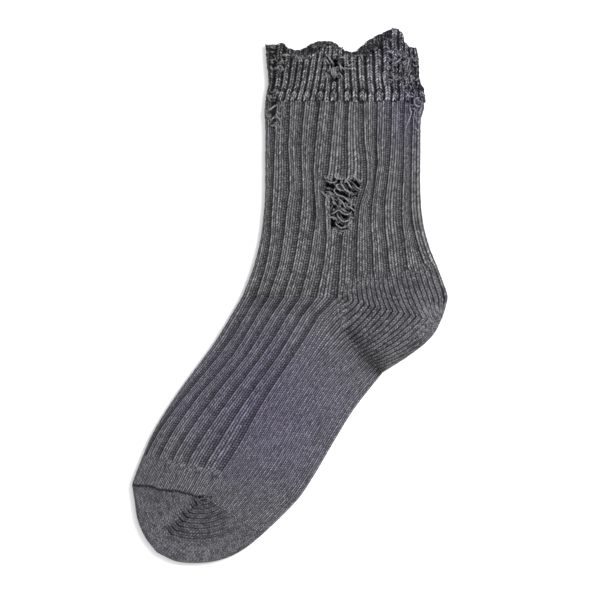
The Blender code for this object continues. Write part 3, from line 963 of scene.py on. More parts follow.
def foot_look(wale, across, course, total):
    look = base_look(wale)
    share = course / total
    end = 0.852 + 0.03 * across / FRONT
    look["rib"] = (across < FRONT - 0.01) * (1 - smooth(end - 0.012, end + 0.012, share))
    near_seam = np.where(across <= FRONT, smooth(total - 0.42, total - 0.1, course), 0.0)
    purl = np.mod(wale, RIB) > RIB / 2
    knot = purl * (across < FRONT) * (across > 9) * np.exp(-(((share - end) / 0.010) ** 2))
    below = purl * (across < FRONT) * (across > 9) * np.exp(-(((share - end - 0.02) / 0.007) ** 2))
    # the seam's groove takes painted shade; each knot at a rib's end takes a painted highlight, with painted
    # shade just below it
    look["dip"] = 0.45 * near_seam - 0.5 * knot
    look["gloom"] = 1.2 * near_seam - 0.6 * knot + 0.5 * below
    # the heel's bold grooves and its crease, with their painted shade, die away on the sole
    sole = (across > FRONT) * (1 - smooth(0.0, 9.0, course))
    look["corner"] = 0.9 * sole
    look["gloom"] += 0.12 * sole * smooth(FRONT, 34, across)
    return look


def heel_look(wale, across, course, total, first_bold, full_bold, plain):
    """Bold wales that meet at the gore in a row of corners, deeper and darker with painted shade, and fade
    towards the leg or the foot.

    plain is how far from the gore the outermost wales are still plain, in courses."""
    look = base_look(wale)
    out = across - FRONT
    left = total - course
    bold = smooth(-1.0, full_bold, course) * (1 - first_bold) + first_bold
    look["fade"] = bold * (1 - 0.7 * smooth(13.5, 18, out) * smooth(plain, 0.3 * plain, left))
    near = smooth(1.5, 0.0, left) * (1 - smooth(14.5, 18.0, out))
    look["corner"] = 0.25 * near * smooth(0.0, 1.0, out)
    return look


def heel_upper_look(wale, across, course, total):
    return heel_look(wale, across, course, total, 0.8, 4.0, 9.0)


def heel_lower_look(wale, across, course, total):
    return heel_look(wale, across, course, total, 0.45, 7.0, 14.0)


def toe_look(wale, across, course, total, bold_courses, strength):
    """Bold wales beside the gore, with finer ones beyond them, and corners on the gore, deeper and darker
    with painted shade.
    """
    look = base_look(wale)
    out = across - FRONT
    left = total - course
    far = left > bold_courses
    look["pattern"] = np.where(far, 1.0, TOE_WALES / (FACE - FRONT))
    bold = strength * (1 - smooth(0.3 * bold_courses, bold_courses, left)) * (1 - smooth(13.5, 18, out))
    look["fade"] = np.where(far, 0.3 * smooth(bold_courses, bold_courses + 4, left), bold)
    look["corner"] = 0.85 * smooth(2.0, 0.4, left) * (1 - smooth(14, 18, out)) * smooth(0.3, 1.3, out)
    return look


def toe_lower_look(wale, across, course, total):
    return toe_look(wale, across, course, total, 28.0, 0.8)


def toe_upper_look(wale, across, course, total):
    look = toe_look(wale, across, course, total, 4.0, 1.0)
    near_seam = 1 - smooth(0.1, 0.42, course)
    # the seam sinks in and its groove takes painted shade
    look["dip"] = 0.45 * near_seam
    look["gloom"] = 1.2 * near_seam
    return look


def bump_place(wale):
    """How far a wale of the cuff stands from the nearest bump, in reaches of a bump."""
    phase = np.mod(wale / RIB - BUMP_AT + 0.5, 1.0) - 0.5
    return phase / BUMP_REACH


def cuff_look(wale, across, course, total):
    look = base_look(wale, 1.0, CUFF_RIB, CUFF_RIB_PLACES)
    # bumps on every other knit wale of the upper layer, where the cuff's ribs are joined to the leg's
    upper = smooth(0.0, 3.0, across) * (wale <= FACE)
    far = np.hypot(bump_place(wale), (course - 2.1) / 1.8)
    bump = upper * np.exp(-(far**4))
    ring = upper * np.exp(-(((far - 1.2) / 0.24) ** 2))
    look["rib"] = 1 - 0.9 * bump
    look["dip"] = 0.35 * ring - 0.8 * bump
    # painted shade in a ring round each bump, a faint painted highlight on the bump, and painted shade over
    # the cuff's upper part near the front fold
    painted_fold_shade = upper * (1 - smooth(5, 14, across)) * smooth(4, 10, course)
    look["gloom"] = 0.8 * ring - 0.1 * bump + 0.3 * painted_fold_shade
    return look


# ======================================================================== node helpers


class Value:
    """A number in a node tree. Sums and products of it add Math nodes, so that a formula reads as one."""

    def __init__(self, tree, socket):
        self.tree, self.socket = tree, socket

    def math(self, operation, *others):
        node = self.tree.nodes.new("ShaderNodeMath")
        node.operation = operation
        for socket, value in zip(node.inputs, (self, *others)):
            join(self.tree, value, socket)
        return Value(self.tree, node.outputs[0])

    def __add__(self, other):
        return self.math("ADD", other)

    def __sub__(self, other):
        return self.math("SUBTRACT", other)

    def __mul__(self, other):
        return self.math("MULTIPLY", other)

    def __rsub__(self, other):
        return (self * -1.0).math("ADD", other)

    __radd__ = __add__
    __rmul__ = __mul__

    def span(self, low, high, to_low=0.0, to_high=1.0):
        """Smoothly from to_low at low to to_high at high."""
        node = self.tree.nodes.new("ShaderNodeMapRange")
        node.interpolation_type = "SMOOTHSTEP"
        for name, value in (
            ("Value", self),
            ("From Min", low),
            ("From Max", high),
            ("To Min", to_low),
            ("To Max", to_high),
        ):
            join(self.tree, value, node.inputs[name])
        return Value(self.tree, node.outputs[0])


def join(tree, value, socket):
    """Links a Value or a socket, or sets a plain number."""
    if isinstance(value, Value):
        tree.links.new(value.socket, socket)
    elif isinstance(value, bpy.types.NodeSocket):
        tree.links.new(value, socket)
    else:
        socket.default_value = value


def node(tree, kind, settings=(), **inputs):
    """A new node with its settings, and its inputs linked or set. An input's name has _ for a space."""
    made = tree.nodes.new(kind)
    for key, value in dict(settings).items():
        setattr(made, key, value)
    for key, value in inputs.items():
        join(tree, value, made.inputs[key.replace("_", " ")])
    return made


def attribute(tree, name, kind="FLOAT"):
    """What the points of a mesh carry under a name, in a tree of Geometry Nodes."""
    found = node(tree, "GeometryNodeInputNamedAttribute", {"data_type": kind}, Name=name)
    return found.outputs["Attribute"]


def paint(tree, given, result, geometry):
    """Ends a tree of Geometry Nodes: its instances are made real and it takes its material."""
    real = node(tree, "GeometryNodeRealizeInstances", Geometry=geometry)
    material = given.outputs["Material"]
    painted = node(tree, "GeometryNodeSetMaterial", Geometry=real.outputs[0], Material=material)
    join(tree, painted.outputs[0], result.inputs["Geometry"])


def new_tree(name, kind, inputs, outputs):
    """A node group with these sockets: {name: (socket type, default)}."""
    tree = bpy.data.node_groups.new(name, kind)
    for label, (socket, default) in inputs.items():
        made = tree.interface.new_socket(label, in_out="INPUT", socket_type=socket)
        if default is not None:
            made.default_value = default
    for label, socket in outputs.items():
        tree.interface.new_socket(label, in_out="OUTPUT", socket_type=socket)
    return tree, tree.nodes.new("NodeGroupInput"), tree.nodes.new("NodeGroupOutput")


# ======================================================================== geometry: the stitches' relief


def relief_tree():
    """Geometry Nodes that press the stitches, wales and ribs into a laid piece of knit, and store its painted
    shade.
    """
    tree, given, result = new_tree(
        "Stitch Relief",
        "GeometryNodeTree",
        {
            "Geometry": ("NodeSocketGeometry", None),
            "Wales in a Rib": ("NodeSocketFloat", 4.0),
            "Rib Depth": ("NodeSocketFloat", 0.0008),
            "Wale Groove": ("NodeSocketFloat", 0.0003),
            "Groove Spread": ("NodeSocketFloat", 0.0),
            "Leg Groove": ("NodeSocketFloat", 0.0002),
            "Course Groove": ("NodeSocketFloat", 0.0002),
            "Unevenness": ("NodeSocketFloat", 0.0001),
            "Rib Shade": ("NodeSocketFloat", 0.4),
            "Groove Shade": ("NodeSocketFloat", 0.3),
            "Course Shade": ("NodeSocketFloat", 0.0),
            "Seed": ("NodeSocketInt", 1),
            "Material": ("NodeSocketMaterial", None),
        },
        {"Geometry": "NodeSocketGeometry"},
    )

    def asked(name):
        return Value(tree, given.outputs[name])

    carried = (Value(tree, attribute(tree, name)) for name in VALUES)
    wale, course, rib, fade, dip, corner, side, messy, gloom = carried
    # the inner side of a rib is its outer side moved by half a rib
    phase = (wale.math("DIVIDE", asked("Wales in a Rib")) + (1.0 - side) * 0.25).math("FRACT")
    curve = node(tree, "ShaderNodeFloatCurve", Value=phase)
    profile = curve.mapping.curves[0]
    section = [(place, depth / RIB_DEEPEST) for place, depth in RIB_PROFILE]
    for place, depth in section[1:-1]:
        profile.points.new(place, depth)
    profile.points[0].location = section[0]
    profile.points[-1].location = section[-1]
    for point in profile.points:
        point.handle_type = "VECTOR"
    curve.mapping.update()
    hollow_rib = Value(tree, curve.outputs[0]) * RIB_DEEPEST * rib
    deeper = corner * 1.4 + 1.0
    purl = rib * phase.span(0.5, 0.56)
    knit = 1.0 - purl
    turn = 2 * math.pi
    across = (wale * turn).math("COSINE")
    leg = (wale * (2 * turn)).math("COSINE") * 0.5 + 0.5  # 1 in the grooves, 0 on the legs
    wale_groove = across.span(0.0 - asked("Groove Spread"), 1.0).math("POWER", corner * 2.0 + 1.0)
    leg_groove = leg * across.span(0.2, -0.2)
    course_groove = (course * turn).math("COSINE").math("MAXIMUM", 0.0)
    purl_head = (wale * (turn / 2)).math("COSINE").math("ABSOLUTE")
    cell = node(
        tree,
        "ShaderNodeCombineXYZ",
        X=(wale + 0.01).math("FLOOR"),
        Y=(course + 0.01).math("FLOOR"),
        Z=asked("Seed"),
    )
    chance = node(tree, "ShaderNodeTexWhiteNoise", {"noise_dimensions": "3D"}, Vector=cell.outputs[0])
    uneven = (Value(tree, chance.outputs["Value"]) - 0.5) * asked("Unevenness") * (messy * 2.0 + 1.0)
    stitches = (
        knit * (wale_groove * asked("Wale Groove") * deeper + leg_groove * asked("Leg Groove"))
        + course_groove * asked("Course Groove") * (purl * 0.6 + 1.0)
        + purl * purl_head * asked("Course Groove") * 0.8
    )
    depth = hollow_rib * asked("Rib Depth") + (stitches + uneven) * fade + dip * MM
    depth = depth * side.math("ABSOLUTE")
    # painted shade: in the rib recesses, the wale and course grooves and the dips, each point's own gloom,
    # and over the coarse inner side
    shade = (
        hollow_rib * asked("Rib Shade")
        + fade * knit * wale_groove * asked("Groove Shade") * deeper
        + fade * knit * course_groove * asked("Course Shade")
        + dip.math("MAXIMUM", 0.0) * 0.6
        + gloom
        + (1.0 - side.math("ABSOLUTE")) * 0.7
    )
    push = node(
        tree,
        "ShaderNodeVectorMath",
        {"operation": "SCALE"},
        Vector=attribute(tree, "outward", "FLOAT_VECTOR"),
        Scale=depth * side * -1.0,
    )
    moved = node(tree, "GeometryNodeSetPosition", Geometry=given.outputs["Geometry"], Offset=push.outputs[0])
    stored = node(
        tree,
        "GeometryNodeStoreNamedAttribute",
        {"data_type": "FLOAT", "domain": "POINT"},
        Geometry=moved.outputs[0],
        Name="hollow",
        Value=shade,
    )
    paint(tree, given, result, stored.outputs[0])
    return tree


def yarn_tree():
    """Geometry Nodes that spin yarn along a mesh's edges: an oval tube, twisted as two plies would be."""
    tree, given, result = new_tree(
        "Loose Yarn",
        "GeometryNodeTree",
        {
            "Geometry": ("NodeSocketGeometry", None),
            "Thickness": ("NodeSocketFloat", 0.001),
            "Twist Length": ("NodeSocketFloat", 0.0025),
            "Step": ("NodeSocketFloat", 0.0005),
            "Waver": ("NodeSocketFloat", 0.0001),
            "Seed": ("NodeSocketInt", 1),
            "Material": ("NodeSocketMaterial", None),
        },
        {"Geometry": "NodeSocketGeometry"},
    )
    lines = node(tree, "GeometryNodeMeshToCurve", Mesh=given.outputs["Geometry"])
    smoothed = node(
        tree, "GeometryNodeCurveSplineType", {"spline_type": "CATMULL_ROM"}, Curve=lines.outputs[0]
    )
    stepped = node(
        tree,
        "GeometryNodeResampleCurve",
        {"mode": "LENGTH"},
        Curve=smoothed.outputs[0],
        Length=given.outputs["Step"],
    )
    size = attribute(tree, "size")
    here = node(tree, "GeometryNodeInputPosition")
    noise = node(
        tree,
        "ShaderNodeTexNoise",
        {"noise_dimensions": "4D"},
        Vector=here.outputs[0],
        Scale=620.0,
        Detail=1.0,
        W=given.outputs["Seed"],
    )
    centred = node(tree, "ShaderNodeVectorMath", {"operation": "SUBTRACT"}, Vector=noise.outputs["Color"])
    centred.inputs[1].default_value = (0.5, 0.5, 0.5)
    drift = node(
        tree,
        "ShaderNodeVectorMath",
        {"operation": "SCALE"},
        Vector=centred.outputs[0],
        Scale=given.outputs["Waver"],
    )
    wavered = node(tree, "GeometryNodeSetPosition", Geometry=stepped.outputs[0], Offset=drift.outputs[0])
    place = node(tree, "GeometryNodeSplineParameter")
    length = Value(tree, place.outputs["Length"])
    tilt = length.math("DIVIDE", given.outputs["Twist Length"]) * (2 * math.pi)
    tilted = node(tree, "GeometryNodeSetCurveTilt", Curve=wavered.outputs[0], Tilt=tilt)
    radius = Value(tree, given.outputs["Thickness"]) * 0.5 * Value(tree, size)
    ring = node(tree, "GeometryNodeCurvePrimitiveCircle", Resolution=8, Radius=1.0)
    squeezed = node(
        tree, "GeometryNodeTransform", Geometry=ring.outputs["Curve"], Scale=(1.12, 0.78, 1.0)
    )
    tube = node(
        tree,
        "GeometryNodeCurveToMesh",
        Curve=tilted.outputs[0],
        Profile_Curve=squeezed.outputs[0],
        Fill_Caps=True,
        Scale=radius,
    )
    soft = node(tree, "GeometryNodeSetShadeSmooth", Geometry=tube.outputs[0])
    paint(tree, given, result, soft.outputs[0])
    return tree


def with_nodes(obj, tree, **settings):
    """The object's mesh as the tree makes it, with the modifier gone."""
    modifier = obj.modifiers.new(tree.name, "NODES")
    modifier.node_group = tree
    for item in tree.interface.items_tree:
        if item.item_type == "SOCKET" and item.in_out == "INPUT":
            key = item.name.replace(" ", "_")
            if key in settings:
                modifier[item.identifier] = settings[key]
    bpy.context.view_layer.update()
    graph = bpy.context.evaluated_depsgraph_get()
    made = bpy.data.meshes.new_from_object(obj.evaluated_get(graph), depsgraph=graph)
    obj.modifiers.clear()
    places = np.empty(len(made.vertices) * 3, np.float32)
    made.vertices.foreach_get("co", places)
    places[2::3] = np.maximum(places[2::3], 0.0)  # the underside lies flat where it rests
    made.vertices.foreach_set("co", places)
    old, obj.data = obj.data, made
    made.name = obj.name
    bpy.data.meshes.remove(old)
    return obj


# ======================================================================== shader groups


def cast_group():
    """A soft patch of painted light, a colour cast round a place: its mask, broken up unevenly."""
    tree, given, result = new_tree(
        "Dye Patch",
        "ShaderNodeTree",
        {
            "Centre": ("NodeSocketVector", (0.0, 0.0, 0.0)),
            "Reach": ("NodeSocketFloat", 0.05),
            "Breakup": ("NodeSocketFloat", 0.5),
        },
        {"Mask": "NodeSocketFloat"},
    )
    place = node(tree, "ShaderNodeTexCoord").outputs["Object"]
    away = node(tree, "ShaderNodeVectorMath", {"operation": "DISTANCE"})
    join(tree, place, away.inputs[0])
    join(tree, given.outputs["Centre"], away.inputs[1])
    cloudy = node(tree, "ShaderNodeTexNoise", Vector=place, Scale=60.0, Detail=4.0, Roughness=0.6)
    share = Value(tree, away.outputs["Value"]).math("DIVIDE", given.outputs["Reach"])
    wander = (Value(tree, cloudy.outputs[0]) - 0.5) * Value(tree, given.outputs["Breakup"])
    join(tree, (share + wander).span(1.15, 0.1), result.inputs["Mask"])
    return tree


def stitch_group():
    """Painted light on each leg of each stitch, and painted shade in the gaps between, from the count of
    wales and courses.
    """
    tree, given, result = new_tree(
        "Stitches",
        "ShaderNodeTree",
        {
            "Wales in a Rib": ("NodeSocketFloat", 4.0),
            "Leg Gap": ("NodeSocketFloat", 0.5),
            "Course Gap": ("NodeSocketFloat", 0.5),
            "Second Leg": ("NodeSocketFloat", 0.2),
            "Chance": ("NodeSocketFloat", 0.3),
        },
        {"Light": "NodeSocketFloat", "Height": "NodeSocketFloat"},
    )

    def read(name):
        return Value(tree, node(tree, "ShaderNodeAttribute", {"attribute_name": name}).outputs["Fac"])

    def asked(name):
        return Value(tree, given.outputs[name])

    wale, course, rib, fade, side = (read(name) for name in ("wale", "course", "rib", "fade", "side"))
    leg_gap = fade * asked("Leg Gap")
    phase = (wale.math("DIVIDE", asked("Wales in a Rib")) + (1.0 - side) * 0.25).math("FRACT")
    purl = rib * phase.span(0.49, 0.53)
    knit = 1.0 - purl
    leg_edge = ((wale * 2.0).math("FRACT") * 2.0 - 1.0).math("ABSOLUTE").span(0.30, 1.0)
    wale_edge = (wale.math("FRACT") * 2.0 - 1.0).math("ABSOLUTE").span(0.45, 1.0)
    row_edge = (course.math("FRACT") * 2.0 - 1.0).math("ABSOLUTE")
    knit_light = (1.0 - leg_edge * leg_gap) * (1.0 - row_edge.span(0.30, 1.0) * asked("Course Gap"))
    purl_light = (1.0 - wale_edge * leg_gap) * (1.0 - row_edge.span(0.75, 0.0) * asked("Course Gap") * 1.15)
    second = wale.math("FRACT").span(0.40, 0.55) * wale.math("FRACT").span(1.0, 0.9) * knit * fade
    cell = node(
        tree,
        "ShaderNodeCombineXYZ",
        X=(wale * 2.0).math("FLOOR"),
        Y=(course + purl * 0.5).math("FLOOR"),
        Z=side,
    )
    chance = node(tree, "ShaderNodeTexWhiteNoise", {"noise_dimensions": "3D"}, Vector=cell.outputs[0])
    luck = (Value(tree, chance.outputs["Value"]) - 0.5) * asked("Chance") * 2.0 + 1.0
    light = knit * knit_light + purl * purl_light.math("MAXIMUM", 0.0)
    # painted shade on each stitch's second leg
    light = light * (1.0 - second * asked("Second Leg"))
    join(tree, light * luck, result.inputs["Light"])
    join(tree, light, result.inputs["Height"])
    return tree


def yarn_group():
    """Colour and fine height of the yarn: marl, fibres, and the painted shade in its hollows."""
    tree, given, result = new_tree(
        "Yarn",
        "ShaderNodeTree",
        {
            "Colour": ("NodeSocketColor", (0.1, 0.1, 0.11, 1.0)),
            "Tinted": ("NodeSocketColor", (0.1, 0.1, 0.13, 1.0)),
            "Tint": ("NodeSocketFloat", 0.0),
            "Light": ("NodeSocketFloat", 1.0),
            "Marl": ("NodeSocketFloat", 0.5),
            "Shade": ("NodeSocketFloat", 0.7),
        },
        {"Colour": "NodeSocketColor", "Height": "NodeSocketFloat", "Fuzz": "NodeSocketFloat"},
    )
    place = node(tree, "ShaderNodeTexCoord").outputs["Object"]
    painted_darkness = Value(tree, node(tree, "ShaderNodeAttribute", {"attribute_name": "hollow"}).outputs["Fac"])

    def noise(scale, detail, roughness):
        made = node(tree, "ShaderNodeTexNoise", Vector=place, Scale=scale, Detail=detail, Roughness=roughness)
        return Value(tree, made.outputs[0]) - 0.5

    flecks, clouds, fibre = noise(1900.0, 2.0, 0.7), noise(45.0, 3.0, 0.6), noise(4200.0, 2.0, 0.8)
    grain = (flecks * 3.4 + clouds * 0.6 + fibre * 1.8) * Value(tree, given.outputs["Marl"]) + 1.0
    bright = grain.math("MAXIMUM", 0.12) * Value(tree, given.outputs["Light"])
    # painted shade: darker where the points carry painted shade
    bright = bright * (1.0 - (painted_darkness * Value(tree, given.outputs["Shade"])).math("MINIMUM", 0.93))
    mixed = node(tree, "ShaderNodeMix", {"data_type": "RGBA"})
    join(tree, given.outputs["Tint"], mixed.inputs["Factor"])
    join(tree, given.outputs["Colour"], mixed.inputs[6])
    join(tree, given.outputs["Tinted"], mixed.inputs[7])
    scaled = node(tree, "ShaderNodeVectorMath", {"operation": "SCALE"}, Vector=mixed.outputs[2], Scale=bright)
    join(tree, scaled.outputs[0], result.inputs["Colour"])
    join(tree, flecks * 0.5 + fibre * 0.3, result.inputs["Height"])
    join(tree, fibre * 0.3 + painted_darkness * 0.06 + 0.84, result.inputs["Fuzz"])
    return tree


# how light each part's loose yarn is beside its knit, where the painted shade in the stitches' gaps darkens
# the knit
LOOSE_LIGHT = {"cuff": 0.52, "leg": 0.82, "toe": 0.75}


def yarn_material(name, groups, colour, tinted, marl, shade, stitches=None, loose_light=1.0):
    """Soft matt cotton yarn of one part of the sock. stitches are the Stitches group's settings, or None."""
    material = bpy.data.materials.new(name)
    material.use_nodes = True
    tree = material.node_tree
    tree.nodes.clear()
    tint = None
    # painted light: the patches' violet cast, mixed in by their masks
    for centre, reach, strength in PATCHES:
        patch = node(tree, "ShaderNodeGroup", {"node_tree": groups["patch"]})
        patch.inputs["Centre"].default_value = [c * MM for c in centre]
        patch.inputs["Reach"].default_value = reach * MM
        mask = Value(tree, patch.outputs["Mask"]) * strength
        tint = mask if tint is None else tint.math("MAXIMUM", mask)
    yarn = node(tree, "ShaderNodeGroup", {"node_tree": groups["yarn"]})
    yarn.inputs["Colour"].default_value = (*colour, 1.0)
    yarn.inputs["Tinted"].default_value = (*tinted, 1.0)
    yarn.inputs["Marl"].default_value = marl
    yarn.inputs["Shade"].default_value = shade
    join(tree, tint, yarn.inputs["Tint"])
    height = Value(tree, yarn.outputs["Height"])
    if stitches is not None:
        knit = node(tree, "ShaderNodeGroup", {"node_tree": groups["stitch"]})
        for key, value in stitches.items():
            knit.inputs[key].default_value = value
        join(tree, knit.outputs["Light"], yarn.inputs["Light"])
        height = height + Value(tree, knit.outputs["Height"]) * 0.7
    else:
        yarn.inputs["Light"].default_value = loose_light
    bumped = node(tree, "ShaderNodeBump", Strength=0.6, Distance=0.0004, Height=height)
    cloth = node(tree, "ShaderNodeBsdfPrincipled")
    cloth.inputs["Specular IOR Level"].default_value = 0.12
    cloth.inputs["Sheen Weight"].default_value = 0.06
    cloth.inputs["Sheen Roughness"].default_value = 0.5
    join(tree, yarn.outputs["Colour"], cloth.inputs["Base Color"])
    join(tree, yarn.outputs["Fuzz"], cloth.inputs["Roughness"])
    join(tree, bumped.outputs[0], cloth.inputs["Normal"])
    node(tree, "ShaderNodeOutputMaterial", Surface=cloth.outputs[0])
    material.diffuse_color = (*colour, 1.0)
    return material


# ======================================================================== settings


def size_property(name, description, default, low=0.0, high=0.01):
    return bpy.props.FloatProperty(
        name=name, description=description, default=default, min=low, max=high, unit="LENGTH", precision=5
    )


def colour_property(name, description, default):
    return bpy.props.FloatVectorProperty(
        name=name, description=description, default=default, size=3, min=0.0, max=1.0, subtype="COLOR"
    )


class SockSizes(bpy.types.PropertyGroup):
    """Sizes of the laid cloth and its stitches."""

    fold: size_property("Fold radius", "Outer radius of the cloth where it turns at a fold edge", 0.0023)
    wall: size_property("Cloth thickness", "Thickness of one layer of the knit", 0.0016)
    rib_depth: size_property(
        "Rib depth", "How far the purl wales of the leg lie below the knit ones", 0.00085
    )
    cuff_rib_depth: size_property(
        "Cuff rib depth", "How far the cuff's purl wales lie below its knit ones", 0.0009
    )
    groove: size_property(
        "Wale groove", "Depth of the groove between two wales of the ribbed knit", 0.00022
    )
    heel_groove: size_property(
        "Heel wale groove", "Depth of the groove between two wales of the heel", 0.00042
    )
    sole_groove: size_property(
        "Sole wale groove", "Depth of the groove between two wales of the sole", 0.00016
    )
    yarn: size_property("Yarn thickness", "Thickness of the loose yarn in the holes", 0.0011)


class SockColours(bpy.types.PropertyGroup):
    """Colours of the yarn in each part of the sock, and of the painted light cast over it."""

    cuff: colour_property("Cuff", "Yarn of the cuff", (0.330, 0.327, 0.342))
    leg: colour_property("Leg", "Yarn of the ribbed leg", (0.204, 0.202, 0.212))
    heel: colour_property("Heel", "Yarn of the heel", (0.132, 0.130, 0.141))
    foot: colour_property("Foot", "Yarn of the foot", (0.192, 0.188, 0.208))
    toe: colour_property("Toe", "Yarn of the toe", (0.102, 0.100, 0.113))
    violet: colour_property("Painted light cast", "Cast of the patches over the yarn's colour", (0.82, 0.765, 1.0))


class SockSettings(bpy.types.PropertyGroup):
    """Everything that a user would change on the sock."""

    sizes: bpy.props.PointerProperty(type=SockSizes, name="Sizes", description="Sizes of the cloth")
    colours: bpy.props.PointerProperty(type=SockColours, name="Colours", description="Colours of the yarn")
    seed: bpy.props.IntProperty(name="Seed", description="Seed of the uneven stitches", default=7, min=0)


# patches of painted light, a violet cast a little lighter than the yarn: the centre, the reach and the
# strength
PATCHES = (
    ((-12.0, -60.0, 4.0), 62.0, 0.9),
    ((70.0, 100.0, 4.0), 34.0, 0.8),
    ((-52.0, -60.0, 4.0), 30.0, 0.5),
    ((60.0, 134.0, 4.0), 22.0, 0.7),
)


def shared(key, make):
    """A node group or a material that is made once and found again by its key."""
    store = shared.__dict__.setdefault("store", {})
    if key not in store:
        store[key] = make()
    return store[key]


# Each part's stitches as its yarn shows them: the painted shade in the gaps between the legs of a stitch
# and between courses, the painted shade on a stitch's second leg and how uneven its stitches are, then its
# marl and the strength of the painted shade in its hollows.
KNIT_LOOKS = {
    "cuff": (0.95, 1.00, 0.10, 0.80, 1.20, 0.90),
    "leg": (0.90, 0.62, 0.30, 0.52, 1.12, 0.88),
    "heel": (0.50, 0.60, 0.12, 0.55, 1.40, 0.90),
    "foot": (0.88, 0.60, 0.25, 0.38, 0.90, 0.88),
    "toe": (0.60, 0.70, 0.15, 0.45, 1.30, 0.90),
}


CAST_GAIN = 1.12  # how much lighter a painted light patch is than its violet cast alone makes it


def material_for(part, stitched=True):
    colours = bpy.context.scene.sock.colours

    def make():
        groups = {
            "patch": shared("patch", cast_group),
            "yarn": shared("yarn", yarn_group),
            "stitch": shared("stitch", stitch_group),
        }
        leg_gap, course_gap, second, chance, marl, shade = KNIT_LOOKS[part]
        stitches = {
            "Wales in a Rib": float(CUFF_RIB if part == "cuff" else RIB),
            "Leg Gap": leg_gap,
            "Course Gap": course_gap,
            "Second Leg": second,
            "Chance": chance,
        }
        name = part.title()
        own = tuple(getattr(colours, part))
        light_cast_colour = tuple(c * cast * CAST_GAIN for c, cast in zip(own, colours.violet))
        if stitched:
            return yarn_material(f"{name} Knit", groups, own, light_cast_colour, marl, shade, stitches)
        return yarn_material(
            f"{name} Loose Yarn", groups, own, light_cast_colour, marl, shade, loose_light=LOOSE_LIGHT[part]
        )

    return shared(f"{part} {stitched}", make)


def sizes_in_mm():
    sizes = bpy.context.scene.sock.sizes
    return {"fold": sizes.fold / MM, "wall": sizes.wall / MM}


def finish_piece(obj, part, flat):
    """The frame's calls for a piece of cloth with its loose yarn, or for loose yarn, which has no cut."""
    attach(obj, "root")
    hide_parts(part)
    return obj


# ======================================================================== the pieces


def cuff_rim(wale, upper):
    """Height of the rim above the cuff's low edge."""
    at_rim = cuff_lean(wale, CUFF_TALL)[1]
    bite = 0.45 * np.abs(np.sin(math.pi * wale)) + 0.35 * ripple(wale, wale * 0, 3.7, 8)
    rim = np.where(upper, from_table(RIM_UPPER, at_rim), from_table(RIM_UNDER, at_rim))
    return rim + bite * smooth(0, 1.5, np.minimum(wale, FACE - wale))


def cuff_length(wale, upper):
    return cuff_rim(wale, upper) / CUFF_COURSE


class CuffStrip(Strip):
    """The cuff's courses start at its low edge, and its columns end at the frilled rim."""

    def lay(self, wale, course, fold):
        upper = wale <= FACE
        look, moved, leant, total = self.settle(wale, course, even_ribs=True)
        hanging = CUFF_OVERLAP * (0.3 + 1.5 * np.exp(-(bump_place(wale) ** 2)) * upper)
        height = leant * CUFF_COURSE - hanging * smooth(2.0, 0.0, leant)
        plan = cuff_plan(moved, height)
        curl = from_table(RIM_CURL, plan[..., 0]) * smooth(7.0, 0.0, total - leant)
        wave = 0.8 * smooth(9.0, 0.0, total - leant) * ripple(plan[..., 0], plan[..., 1] * 0.3, 11.0, 9)
        lift = np.where(upper, curl + 0.8 * wave, 0.0)
        place, out = envelope(plan, upper, fold, lift)
        above = height - from_table(RIM_UPPER, plan[..., 0])
        # painted shade on the under layer's inner side, just below the upper layer's rim
        look["behind"] = np.where(upper, 0.0, 0.25 * smooth(4.5, -0.5, above))
        return place, out, look


def knitted(part, strips, order, closed=False, fine=False, **relief):
    """The knit of one part, with its relief and its material. order keeps its seed apart from the others'."""
    obj = knit_piece(f"{part.title()}_Knit", strips, closed, fine, sizes_in_mm())
    return with_nodes(
        obj,
        shared("relief", relief_tree),
        Seed=bpy.context.scene.sock.seed + order,
        Material=material_for(part),
        **relief,
    )


def make_cuff():
    strip = CuffStrip(None, cuff_length, (0, TUBE), -1, cuff_look, hole=[CUFF_HOLE])
    sizes = bpy.context.scene.sock.sizes
    return knitted(
        "cuff",
        [strip],
        0,
        closed=True,
        fine=True,
        Wales_in_a_Rib=float(CUFF_RIB),
        Rib_Depth=sizes.cuff_rib_depth,
        Wale_Groove=sizes.groove * 0.4,
        Leg_Groove=sizes.groove * 0.8,
        Course_Groove=sizes.groove * 2.2,
        Unevenness=0.0003,
        Rib_Shade=0.95,
        Groove_Shade=0.4,
        Course_Shade=0.5,
    )


def even_length(courses):
    def length(wale, upper):
        return np.zeros_like(wale) + courses

    return length


def make_leg():
    strip = Strip(leg_plan, even_length(LEG_COURSES), (0, TUBE), 1, leg_look, leg_drift, [ANKLE_HOLE])
    sizes = bpy.context.scene.sock.sizes
    return knitted(
        "leg",
        [strip],
        1,
        closed=True,
        Wales_in_a_Rib=float(RIB),
        Rib_Depth=sizes.rib_depth,
        Wale_Groove=sizes.groove,
        Leg_Groove=sizes.groove * 0.75,
        Course_Groove=sizes.groove,
        Unevenness=0.00016,
        Rib_Shade=0.76,
        Groove_Shade=0.4,
    )


def pocket_length(longest):
    def length(wale, upper):
        return longest * np.clip((wale - FRONT) / (FACE - FRONT), 0, 1)

    return length


def table_length(table):
    def length(wale, upper):
        return np.maximum(from_table(table, wale), 0.0)

    return length


def make_heel():
    upper, lower = table_length(HEEL_UPPER_COURSES), table_length(HEEL_LOWER_COURSES)
    strips = [
        Strip(heel_upper_plan, upper, POCKET_WALES, 1, heel_upper_look),
        Strip(heel_lower_plan, lower, POCKET_WALES, -1, heel_lower_look),
    ]
    sizes = bpy.context.scene.sock.sizes
    return knitted(
        "heel",
        strips,
        2,
        Wale_Groove=sizes.heel_groove,
        Groove_Spread=0.3,
        Leg_Groove=sizes.heel_groove * 0.15,
        Course_Groove=sizes.heel_groove * 0.35,
        Unevenness=0.00014,
        Groove_Shade=1.0,
    )


